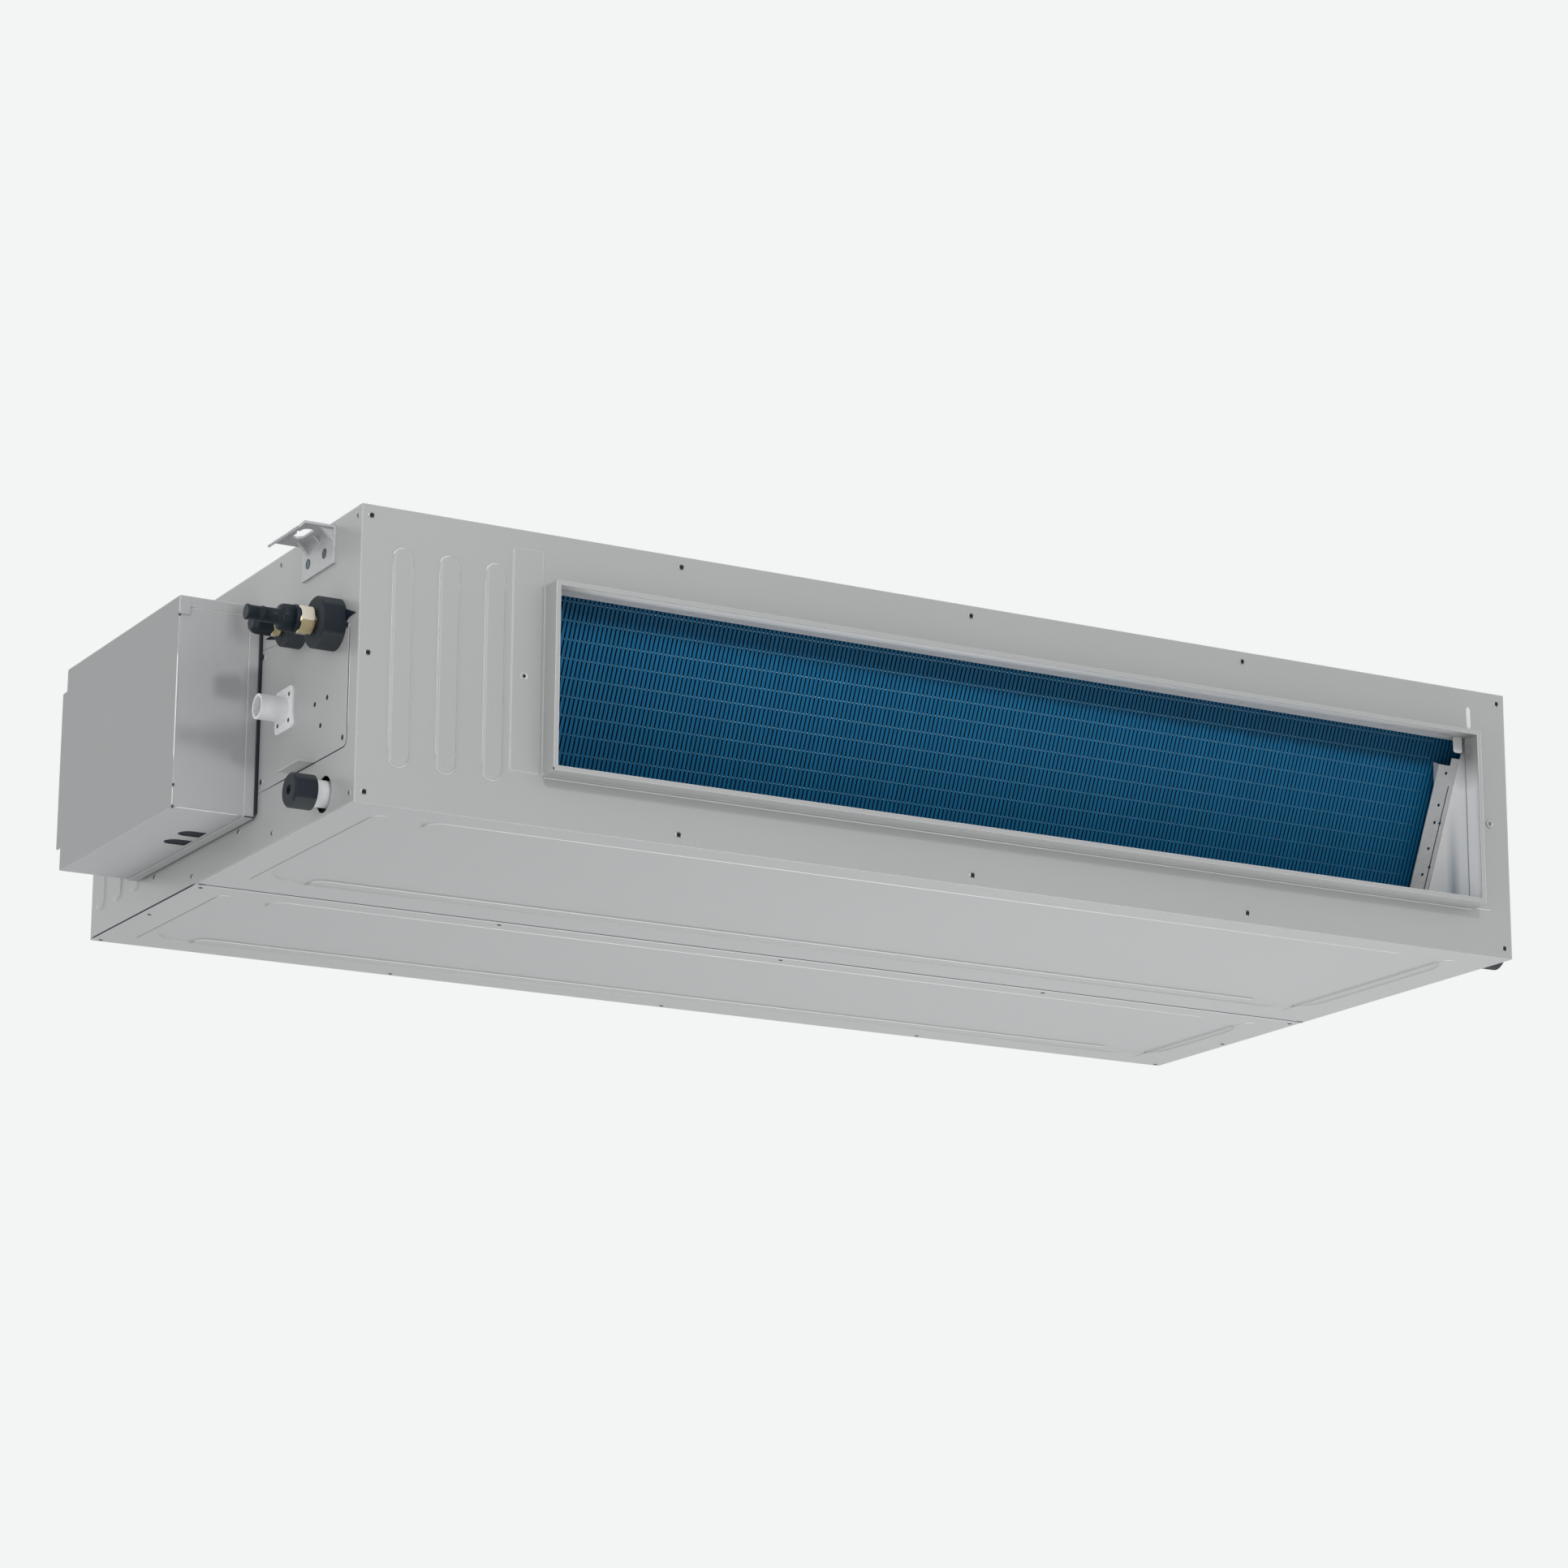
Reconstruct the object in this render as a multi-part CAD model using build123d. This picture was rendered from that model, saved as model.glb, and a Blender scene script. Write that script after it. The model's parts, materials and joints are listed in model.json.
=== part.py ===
from build123d import *
import math
import os

os.makedirs("parts", exist_ok=True)

# Ducted air conditioner, the indoor unit that hangs in a ceiling void.
# Every size is in millimetres. While a piece is drawn, x runs from the left wall to the right,
# y from the front face to the back and z up from the underside. When a piece is saved it is
# moved so that the origin lies in the middle of the underside.

# Casing
casing_width = 1385.0
casing_depth = 700.0
casing_height = 300.0
sheet = 1.2
return_lip = 17.0
underside_seam = 306.0  # from the back to the joint between the two underside panels

# Clearances
part_gap = 0.3  # between pieces that lie beside each other
running_fit = 0.05  # radial, a shaft in its bore
sliding_gap = 0.5  # each side of a filter in its rail

# Outlet in the front
outlet_left_margin = 199.5
outlet_right_margin = 52.0
outlet_low_margin = 52.5
outlet_high_margin = 53.5
collar_reach = 25.0
collar_lip = 5.0

# Pressed ribs and panels
rib_width = 20.0
rib_pitch = 50.0
rib_lift = 1.5
front_rib_first = 45.0
front_rib_low = 41.0
front_rib_high_margin = 40.5
front_rib_count = 3
side_rib_last = 29.0  # from the back to the middle of the last side rib
side_rib_low = 28.0
pad_lift = 1.0
pad_width = 36.0
left_pad_hole_margin = 22.0  # from the side of the outlet to the hole in the middle of a pad
right_pad_hole_margin = 27.0
pad_hole_radius = 1.7
press_depth = 1.4
press_margin = 38.0  # from the casing's front or back edge to the pressing in a panel
press_seam_front = 49.0  # from the seam to the pressing before it
press_seam_rear = 42.0
press_radius = 55.0
press_side_margin = 42.0
top_bead_depth = 2.0

# Screws in the sheet metal
screw_margin = 10.0
screw_head_radius = 3.4
screw_head_height = 0.9

# Pipe cover on the left wall
cover_front = 24.5
cover_back = 245.0
cover_low = 61.4
cover_high_front = 192.0
cover_high_back = 211.0
cover_radius = 6.0
cover_gap = 0.6
cover_land = 8.0
slit_front = (10.5, 192.3)
slit_back = (236.7, 221.6)
slit_height = 18.0
shelf_front = 100.0
shelf_back = 152.0
shelf_reach = 17.0
spare_hole_radius = 1.75
spare_holes = ((72.5, 121.0), (102.8, 121.0), (87.2, 96.0))

# Hanger brackets
bracket_front = 62.6
bracket_length = 77.6
bracket_sheet = 2.5
bracket_leg = 39.0
bracket_reach = 34.0
bracket_lip = 6.4
bracket_top_margin = 5.5
bracket_hole_radius = 5.0
bracket_screw_radius = 4.2
bracket_screw_drop = 23.5  # from the top of the bracket
bracket_screw_spacing = 40.2
bracket_screw_first = 22.4
slot_centre_reach = 20.5
slot_offset = 34.9  # along the bracket to the middle of its slot
slot_length = 35.0
slot_width = 12.0

# Refrigerant pipes
gas_pipe_y = 55.7
gas_pipe_z = 190.1
gas_pipe_radius = 7.94
gas_sleeve_radius = 26.0
gas_sleeve_reach = 24.0
gas_nut_flats = 27.0
gas_nut_length = 15.5
gas_cap_radius = 13.8
gas_cap_length = 14.5
gas_cap_nose = 37.5
liquid_pipe_y = 144.1
liquid_pipe_z = 209.0
liquid_pipe_radius = 4.76
liquid_sleeve_radius = 20.5
liquid_sleeve_reach = 20.0
liquid_nut_flats = 22.0
liquid_nut_length = 9.0
liquid_cap_radius = 12.0
liquid_cap_length = 20.5
bare_pipe = 4.0  # pipe seen between a sleeve and its nut
seal_depth = 18.0

# Coil
coil_lean = 25.0
coil_tube_pitch = 19.05
coil_thickness = 42.0
coil_foot_y = 114.0
coil_foot_z = 42.85
coil_left_margin = 190.0
coil_right_margin = 40.0
fin_pitch = 4.96
fin_thickness = 3.66
fin_groove = 16.0
coil_tube_radius = 4.0
coil_tube_depth = 10.5
baffle_stand_off = 15.0
baffle_width = 38.0
baffle_hole_radius = 1.8
header_radius = 11.0
header_x = 150.0
feeder_radius = 2.5

# Linings inside the outlet
lining_underside_margin = 54.5
lining_skin = 12.0

# Drain pan and drains
pan_end_margin = 20.0
pan_front = 8.0
pan_back = 215.0
pan_underside = 4.5
pan_rim = 46.0
pan_wall = 12.0
pan_floor = 14.5
drain_y = 74.0
drain_radius = 13.5
drain_bore = 9.0
drain_reach = 13.0
drain_hole_radius = 18.5
plug_radius = 17.5
plug_length = 24.0
plug_bore = 5.0

# Drain pump and float
stub_y = 175.4
stub_z = 132.5
stub_radius = 13.0
stub_bore = 10.0
stub_reach = 31.0
stub_inside = 15.0
stub_flange = 44.0
stub_flange_sheet = 2.5
pump_x = 104.0
pump_radius = 24.0
pump_low = 19.0
pump_height = 40.0
pump_wall = 2.0
pump_shelf_front = 34.0  # from the outlet stub's centre to the edges of the motor's bracket
pump_shelf_rear = 28.0
pump_shelf_reach = 32.0
impeller_radius = 16.0
impeller_shaft_radius = 2.5
hose_radius = 12.0
hose_bend = 26.0
float_x = 60.0
float_y = 110.0
float_travel = 12.0
float_radius = 12.0
float_height = 14.0
stem_radius = 3.0

# Fans
fan_back_margin = 155.0
wheel_radius = 88.0
wheel_inner_radius = 70.0
wheel_width = 260.0
wheel_ring = 2.0
blade_count = 30
blade_sweep = 9.0
blade_turn = 0.8  # thickness of a blade as an angle about the shaft
scroll_tip_gap = 8.0
scroll_spread = 42.0
scroll_wall = 1.5
scroll_side_gap = 6.5
scroll_tongue = 15.0
inlet_radius = 76.0
motor_bay = 110.0  # from the middle of the unit to each scroll
shaft_radius = 6.35
hub_radius = 15.0
hub_half = 22.0
motor_radius = 66.0
motor_half = 55.0
motor_shield = 8.0
motor_boss_radius = 22.0
motor_boss = 16.0
cradle_sheet = 2.0

# Rear inlet and filters
inlet_side_margin = 60.0
inlet_edge_margin = 30.0
rail_margin = 22.0
rail_lip = 10.0
rail_end_margin = 18.0
filter_stand_off = 4.5
filter_thickness = 8.0
filter_bar = 14.0
filter_mesh = 0.8
filter_post = 12.0

# Electric box on the left wall
box_back_margin = 139.0
box_length = 318.0
box_low = 36.0
box_high_margin = 42.0
box_reach = 90.0
box_gap = 3.0
box_flange = 11.0
box_sheet = 1.0
box_rear_flange = 11.0
board_stand_off = 30.0
board_sheet = 1.6
board_front_margin = 24.0
board_back_margin = 60.0
board_low_margin = 48.0
board_high_margin = 16.0
terminal_first = 70.0  # from the front of the box
terminal_low = 12.0
terminal_count = 8
terminal_pitch = 14.0
terminal_wall = 4.0
terminal_height = 26.0
terminal_floor = 14.0
terminal_reach = 24.0
cable_slot_first = 85.0  # from the front of the box
cable_slot_length = 24.5
cable_slot_pitch = 39.0
cable_slot_inner = 17.0
cable_slot_outer = 44.0

# Places worked out from the sizes above
right = casing_width
back = casing_depth
top = casing_height
middle = right / 2
inner_top = top - sheet
seam_y = back - underside_seam
outlet_left = outlet_left_margin
outlet_right = right - outlet_right_margin
outlet_low = outlet_low_margin
outlet_high = top - outlet_high_margin
lining_underside = top - lining_underside_margin
bracket_top = top - bracket_top_margin
bracket_low = bracket_top - bracket_leg
fin_left = coil_left_margin
fin_right = right - coil_right_margin
lean_sin = math.sin(math.radians(coil_lean))
lean_cos = math.cos(math.radians(coil_lean))
coil_rows = int((top - 52.0) / coil_tube_pitch)
coil_length = coil_rows * coil_tube_pitch
drain_z = pan_floor + drain_bore
fan_y = back - fan_back_margin
fan_z = top / 2
deck_back = seam_y + sheet
scroll_start = wheel_radius + scroll_tip_gap
scroll_end = scroll_start + scroll_spread
scroll_half = wheel_width / 2 + scroll_side_gap + scroll_wall
mouth_high = fan_z - scroll_start * math.sin(math.radians(scroll_tongue))
mouth_low = fan_z - scroll_end
left_fan_x = middle - motor_bay - scroll_half
right_fan_x = middle + motor_bay + scroll_half
pump_top = pump_low + pump_height
box_high = top - box_high_margin
box_back = back - box_back_margin
box_front = box_back - box_length
gas_nut_front = -gas_sleeve_reach - bare_pipe
liquid_nut_front = -liquid_sleeve_reach - bare_pipe
filter_front = back + filter_stand_off + sheet + sliding_gap
filter_back = filter_front + filter_thickness
rail_back = filter_back + sliding_gap + sheet
rail_low = rail_margin
rail_high = top - rail_margin


# Drawing helpers
def face_x(x):
    return Plane(origin=(x, 0, 0), x_dir=(0, 1, 0), z_dir=(1, 0, 0))


def face_y(y):
    return Plane(origin=(0, y, 0), x_dir=(1, 0, 0), z_dir=(0, -1, 0))


def rect(u0, u1, v0, v1, radius=0.0):
    centre = Pos((u0 + u1) / 2, (v0 + v1) / 2)
    if radius > 0:
        return centre * RectangleRounded(u1 - u0, v1 - v0, radius)
    return centre * Rectangle(u1 - u0, v1 - v0)


def slab_x(sketch, x0, x1):
    return extrude(face_x(x0) * sketch, x1 - x0, dir=(1, 0, 0))


def slab_y(sketch, y0, y1):
    return extrude(face_y(y0) * sketch, y1 - y0, dir=(0, 1, 0))


def slab_z(sketch, z0, z1):
    return extrude(Plane(origin=(0, 0, z0)) * sketch, z1 - z0, dir=(0, 0, 1))


def rod_x(y, z, x0, x1, radius):
    return slab_x(Pos(y, z) * Circle(radius), x0, x1)


def rod_z(x, y, z0, z1, radius):
    return slab_z(Pos(x, y) * Circle(radius), z0, z1)


def to_right(shape):
    return mirror(shape, about=Plane.YZ.offset(middle))


def to_back(shape):
    return mirror(shape, about=Plane.XZ.offset(-back / 2))


def save(name, shape):
    solids = shape if isinstance(shape, list) else [shape]
    moved = [Pos(-middle, -back / 2, 0) * solid for solid in solids]
    whole = Compound(children=moved) if len(moved) > 1 else moved[0]
    export_step(whole, "parts/" + name + ".step")
    print(name)


# A shape pressed out of a sheet. The plane lies on the face that bulges, and outline(inset)
# draws the outline drawn in by the inset.
def press(panel, plane, outline, lift):
    bulge = extrude(plane * outline(0.0), lift, taper=30)
    hollow = extrude(plane.offset(-sheet) * outline(sheet), lift, taper=30)
    return panel + bulge - hollow


def rib_outline(centre, low, high):
    def outline(inset):
        return rect(
            centre - rib_width / 2 + inset,
            centre + rib_width / 2 - inset,
            low + inset,
            high - inset,
            rib_width / 2 - inset - 0.01,
        )

    return outline


def box_outline(u0, u1, v0, v1, radius):
    def outline(inset):
        return rect(u0 + inset, u1 - inset, v0 + inset, v1 - inset, radius - inset)

    return outline


# Front panel with the folded collar that the supply duct slips over
def make_front_panel():
    panel = slab_y(rect(0, right, 0, top), 0, sheet)
    for index in range(front_rib_count):
        centre = front_rib_first + index * rib_pitch
        outline = rib_outline(centre, front_rib_low, top - front_rib_high_margin)
        panel = press(panel, face_y(0), outline, rib_lift)
    pad_high = top - 19.0
    left_pad = box_outline(outlet_left - pad_width, outlet_left - 3, outlet_low, pad_high, 3)
    panel = press(panel, face_y(0), left_pad, pad_lift)
    for x in (outlet_left - left_pad_hole_margin, outlet_right + right_pad_hole_margin):
        hole = Pos(x, top / 2) * Circle(pad_hole_radius)
        panel -= slab_y(hole, -pad_lift - 1, sheet + 1)
    panel += slab_y(rect(outlet_left, outlet_right, outlet_low, outlet_high), -collar_reach, 0)
    throat = rect(outlet_left + sheet, outlet_right - sheet, outlet_low + sheet, outlet_high - sheet)
    panel -= slab_y(throat, -collar_reach + sheet, sheet)
    lip_hole = rect(
        outlet_left + collar_lip,
        outlet_right - collar_lip,
        outlet_low + collar_lip,
        outlet_high - collar_lip,
    )
    panel -= slab_y(lip_hole, -collar_reach, -collar_reach + sheet)
    corner_gap = rect(outlet_left, outlet_left + sheet, outlet_low, outlet_low + 3)
    panel -= slab_y(corner_gap, -collar_reach, -2)
    return panel


# Side walls: a sheet with lips folded in at the front, back and bottom, and upright ribs
def make_side_wall():
    wall = slab_x(rect(sheet, back - sheet, sheet, inner_top), 0, sheet)
    wall += slab_y(rect(0, return_lip, sheet, inner_top), sheet, 2 * sheet)
    wall += slab_y(rect(0, return_lip, sheet, inner_top), back - 2 * sheet, back - sheet)
    for y0, y1 in ((2 * sheet, seam_y - 16), (seam_y + 16, back - 2 * sheet)):
        wall += slab_z(rect(0, return_lip, y0, y1), sheet, 2 * sheet)
    outside = Plane(origin=(0, 0, 0), x_dir=(0, -1, 0), z_dir=(-1, 0, 0))
    for index in range(3):
        centre = back - side_rib_last - index * (rib_pitch - 0.5)
        outline = rib_outline(-centre, side_rib_low, bracket_low - 8)
        wall = press(wall, outside, outline, rib_lift)
    wall -= rod_x(drain_y, drain_z, -1, 2 * sheet, drain_hole_radius)
    return wall


def cover_outline(grow):
    corners = (
        (cover_front, cover_low),
        (cover_back, cover_low),
        (cover_back, cover_high_back),
        (cover_front, cover_high_front),
    )
    outline = Polygon(*corners, align=None)
    outline = fillet(outline.vertices(), cover_radius)
    if grow != 0:
        outline = offset(outline, grow)
    return outline


# The lens-shaped slit that the pipes come out of
def slit_outline():
    front = Vector(*slit_front)
    rear = Vector(*slit_back)
    centre = (front + rear) * 0.5
    across = Vector(-(rear - front).Y, (rear - front).X).normalized() * (slit_height / 2)
    upper = ThreePointArc(front, centre + across, rear)
    lower = ThreePointArc(rear, centre - across, front)
    lens = make_face(upper + lower)
    for y, z, radius in (
        (gas_pipe_y, gas_pipe_z, gas_sleeve_radius - 8),
        (liquid_pipe_y, liquid_pipe_z, liquid_sleeve_radius - 6),
    ):
        lens += Pos(y, z) * Circle(radius)
    return lens


def make_left_wall():
    wall = make_side_wall()
    land = cover_outline(cover_land) - cover_outline(-cover_land)
    wall += slab_x(land, sheet, 2 * sheet)
    wall -= slab_x(cover_outline(cover_gap), -1, sheet)
    wall -= slab_x(slit_outline(), -1, 3 * sheet)
    wall -= rod_x(stub_y, stub_z, -1, 3 * sheet, stub_radius + part_gap)
    for y, z in spare_holes:
        wall -= rod_x(y, z, -1, 3 * sheet, spare_hole_radius)
    wall -= rod_x(box_back - 70, box_low + 60, -1, 2 * sheet, 15)
    return wall


def make_pipe_cover():
    cover = slab_x(cover_outline(0), 0, sheet)
    cover += slab_z(rect(-shelf_reach, 0, shelf_front, shelf_back, 1), cover_low, cover_low + sheet)
    cover -= slab_x(slit_outline(), -1, 2 * sheet)
    cover -= rod_x(stub_y, stub_z, -1, 2 * sheet, stub_radius + part_gap)
    for y, z in spare_holes:
        cover -= rod_x(y, z, -1, 2 * sheet, spare_hole_radius)
    return cover


# Top panel: a shallow tray with beads pressed down into it
def make_top_panel():
    panel = slab_z(rect(0, right, sheet, back - sheet), inner_top, top)
    fold = 19.0
    start = return_lip + 3
    for x0, x1 in ((sheet, 2 * sheet), (right - 2 * sheet, right - sheet)):
        panel += slab_z(rect(x0, x1, start, back - start), top - fold, inner_top)
    for y0, y1 in ((sheet, 2 * sheet), (back - 2 * sheet, back - sheet)):
        panel += slab_z(rect(start, right - start, y0, y1), top - fold, inner_top)
    inside = Plane(origin=(0, 0, inner_top), x_dir=(1, 0, 0), z_dir=(0, 0, -1))
    bead_count = 5
    for index in range(bead_count):
        centre = right * (index + 0.5) / bead_count
        for y0, y1 in ((45, seam_y - 30), (seam_y + 30, back - 45)):
            outline = box_outline(centre - 70, centre + 70, -y1, -y0, 18)
            panel = press(panel, inside, outline, top_bead_depth)
    return panel


# The two underside panels, each with one large shallow pressing
def make_underside(y0, y1, press_y0, press_y1):
    panel = slab_z(rect(0, right, y0, y1), 0, sheet)
    outline = box_outline(press_side_margin, right - press_side_margin, press_y0, press_y1, press_radius)
    return press(panel, Plane(origin=(0, 0, sheet)), outline, press_depth)


# Partition between the coil and the fans, with a hole for each fan outlet
def make_fan_deck():
    side = 2 * sheet + part_gap
    deck = slab_y(rect(side, right - side, sheet, inner_top), seam_y, deck_back)
    foot = return_lip + 1
    deck += slab_z(rect(foot, right - foot, seam_y - 12, seam_y + 14), sheet, 2 * sheet)
    deck += slab_z(rect(foot, right - foot, seam_y - 12, seam_y), inner_top - sheet, inner_top)
    for fan_x in (left_fan_x, right_fan_x):
        opening = rect(
            fan_x - scroll_half + scroll_wall,
            fan_x + scroll_half - scroll_wall,
            mouth_low + scroll_wall,
            mouth_high - scroll_wall,
        )
        deck -= slab_y(opening, seam_y - 1, deck_back + 1)
    return deck


# Rear frame with two rails that the filters slide along
def make_inlet_frame():
    opening = rect(inlet_side_margin, right - inlet_side_margin, inlet_edge_margin, top - inlet_edge_margin)
    frame = slab_y(rect(0, right, 0, top) - opening, back - sheet, back)
    lip_y = back + filter_stand_off
    for floor, inward in ((rail_low, 1), (rail_high, -1)):
        def span(depth):
            ends = sorted((floor, floor + inward * depth))
            return ends[0], ends[1]

        rail = slab_y(rect(rail_end_margin, right - rail_end_margin, *span(sheet)), back, rail_back)
        inner_lip = rect(rail_end_margin, right - rail_end_margin, *span(rail_lip - 4))
        rail += slab_y(inner_lip, lip_y, lip_y + sheet)
        outer_lip = rect(rail_end_margin, right - rail_end_margin, *span(rail_lip))
        rail += slab_y(outer_lip, rail_back - sheet, rail_back)
        frame += rail
    post = rect(middle - filter_post / 2, middle + filter_post / 2, rail_low, rail_high)
    frame += slab_y(post, back - sheet, rail_back)
    return frame


# A washable filter: a plastic frame moulded round a fine mesh, with a pull tab at its end
def make_left_filter():
    x0 = rail_end_margin + 4
    x1 = middle - filter_post / 2 - 1
    z0 = rail_low + sheet + sliding_gap
    z1 = rail_high - sheet - sliding_gap
    rim = rect(x0, x1, z0, z1, 4) - rect(x0 + filter_bar, x1 - filter_bar, z0 + filter_bar, z1 - filter_bar)
    bay = (x1 - x0) / 3
    for index in (1, 2):
        bar_x = x0 + index * bay
        rim += rect(bar_x - filter_bar / 4, bar_x + filter_bar / 4, z0 + 2, z1 - 2)
    panel = slab_y(rim, filter_front, filter_back)
    mesh_y = (filter_front + filter_back) / 2
    panel += slab_y(rect(x0 + 4, x1 - 4, z0 + 4, z1 - 4), mesh_y, mesh_y + filter_mesh)
    tab = rect(x0 - 12, x0 + 4, (z0 + z1) / 2 - 20, (z0 + z1) / 2 + 20, 5)
    panel += slab_y(tab, filter_front + 2, filter_back - 2)
    return panel


# Hanger bracket at the front left; the other three are its mirror images
def make_bracket():
    inner = bracket_top - bracket_sheet
    fold = bracket_sheet * 0.4
    outline = Polygon(
        (0, bracket_low),
        (0, bracket_top),
        (-bracket_reach, bracket_top),
        (-bracket_reach - bracket_lip, bracket_top - bracket_lip),
        (-bracket_reach - bracket_lip + 1.8, bracket_top - bracket_lip - 1.8),
        (-bracket_reach + fold, inner),
        (-bracket_sheet, inner),
        (-bracket_sheet, bracket_low),
        align=None,
    )
    y0 = bracket_front
    y1 = bracket_front + bracket_length
    bracket = slab_y(outline, y0, y1)
    for offset_y, size in ((5.5, 12), (36.5, 6), (63.5, 12)):
        corner = (-bracket_sheet, inner)
        gusset = Polygon(corner, (corner[0] - size, inner), (corner[0], inner - size), align=None)
        bracket += slab_y(gusset, y0 + offset_y - 2, y0 + offset_y + 2)
    slot_y = y0 + slot_offset
    slot = Pos(-slot_centre_reach, slot_y) * Rotation(0, 0, 90) * SlotOverall(slot_length, slot_width)
    slot += rect(-slot_centre_reach - 8.5, -slot_centre_reach, slot_y - 7, slot_y + 1)
    bracket -= slab_z(slot, inner - 1, bracket_top + 1)
    for hole_y in bracket_screw_places():
        hole_z = bracket_top - bracket_screw_drop
        bracket -= rod_x(hole_y, hole_z, -bracket_sheet - 1, 1, bracket_hole_radius)
    return bracket


def bracket_screw_places():
    first = bracket_front + bracket_screw_first
    return (first, first + bracket_screw_spacing)


def make_bracket_screws():
    heads = []
    for y in bracket_screw_places():
        z = bracket_top - bracket_screw_drop
        heads.append(slab_x(Pos(y, z) * RegularPolygon(bracket_screw_radius, 6), -1.6, 0))
    heads = heads + [to_back(head) for head in heads]
    return heads + [to_right(head) for head in heads]


# Screws that hold the upright sheets together, as plain heads seated on the metal. The underside
# has its screw heads sunk flush, so nothing stands below the face it rests on.
def make_casing_screws():
    head = RegularPolygon(screw_head_radius, 8)
    screws = []
    pitch = (right - 2 * screw_margin) / 4
    for index in range(5):
        x = screw_margin + index * pitch
        for z in (screw_margin + 1, top - screw_margin - 1):
            screws.append(slab_y(Pos(x, z) * head, -screw_head_height, 0))
    screws.append(slab_y(Pos(screw_margin, top / 2) * head, -screw_head_height, 0))
    side = [
        slab_x(Pos(y, z) * head, -screw_head_height, 0)
        for y, z in (
            (screw_margin, top - screw_margin),
            (screw_margin + 189, top - screw_margin),
            (screw_margin + 2, screw_margin + 1),
            (screw_margin + 190.5, screw_margin + 1),
            (seam_y - 105, screw_margin + 21),
            (seam_y + 17, screw_margin + 1),
            (seam_y + 123, screw_margin + 21),
        )
    ]
    screws += side
    screws += [to_right(screw) for screw in side]
    cover_screws = (
        (cover_front + 7, cover_low + 10),
        (cover_back - 12, cover_low + 10),
        (cover_front + 2.5, cover_high_front - 9),
        (cover_back - 8, cover_high_back - 8),
    )
    for y, z in cover_screws:
        screws.append(slab_x(Pos(y, z) * head, -screw_head_height, 0))
    return screws


# The coil leans forward. This plane lies on or behind its face: local x runs to the right and
# local y up the slope from the foot of the coil.
def coil_plane(depth):
    origin = (0, coil_foot_y + depth * lean_cos, coil_foot_z + depth * lean_sin)
    return Plane(origin=origin, x_dir=(1, 0, 0), z_dir=(0, -lean_cos, -lean_sin))


def coil_point(up, depth):
    y = coil_foot_y - up * lean_sin + depth * lean_cos
    z = coil_foot_z + up * lean_cos + depth * lean_sin
    return y, z


def slope_at(z, depth):
    return (z - coil_foot_z - depth * lean_sin) / lean_cos


# Fin block: the front of the fins as a comb, with the pack behind it left solid
def make_coil_fins():
    count = int((fin_right - fin_left) / fin_pitch)
    edge = (fin_right - fin_left - count * fin_pitch) / 2
    points = [(fin_left, 0)]
    for index in range(count):
        start = fin_left + edge + index * fin_pitch + fin_thickness / 2
        stop = start + fin_pitch - fin_thickness
        points += [(start, 0), (start, fin_groove), (stop, fin_groove), (stop, 0)]
    points += [(fin_right, 0), (fin_right, coil_thickness), (fin_left, coil_thickness)]
    comb_plane = Plane(
        origin=(0, coil_foot_y, coil_foot_z), x_dir=(1, 0, 0), z_dir=(0, -lean_sin, lean_cos)
    )
    comb = make_face(Polyline(*points, close=True))
    return extrude(comb_plane * comb, coil_length, dir=comb_plane.z_dir)


def tube_places():
    return [coil_tube_pitch * (row + 0.5) for row in range(coil_rows)]


# Tubes through the fins, joined in pairs by return bends at the right-hand end
def make_coil_tubes():
    end = 3.0
    tubes = []
    for up in tube_places():
        y, z = coil_point(up, coil_tube_depth)
        tubes.append(rod_x(y, z, fin_left - sheet - end, fin_right + sheet + end, coil_tube_radius))
    radius = coil_tube_pitch / 2
    start_x = fin_right + sheet + end
    places = tube_places()
    for lower, upper in zip(places[0::2], places[1::2]):
        y, z = coil_point((lower + upper) / 2, coil_tube_depth)
        section = Pos(radius, 0) * RegularPolygon(coil_tube_radius, 6)
        bend = revolve(Plane.XZ * section, Axis.Z, 180)
        place = Plane(origin=(start_x, y, z), x_dir=(0, lean_sin, -lean_cos), z_dir=(0, -lean_cos, -lean_sin))
        tubes.append(place * bend)
    return tubes


# End plates of the coil. Each stands in the drain pan on a foot.
def make_end_plate(x0, x1):
    low = slope_at(pan_floor, 0)
    points = [
        coil_point(slope_at(pan_floor, 0), 0),
        coil_point(0, -1),
        coil_point(coil_length, -1),
        coil_point(coil_length, coil_thickness),
        coil_point(0, coil_thickness),
        (coil_point(low, 0)[0] + 26, pan_floor),
    ]
    return slab_x(Polygon(*points, align=None), x0, x1)


def make_left_end_plate():
    return make_end_plate(fin_left - sheet, fin_left)


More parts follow.
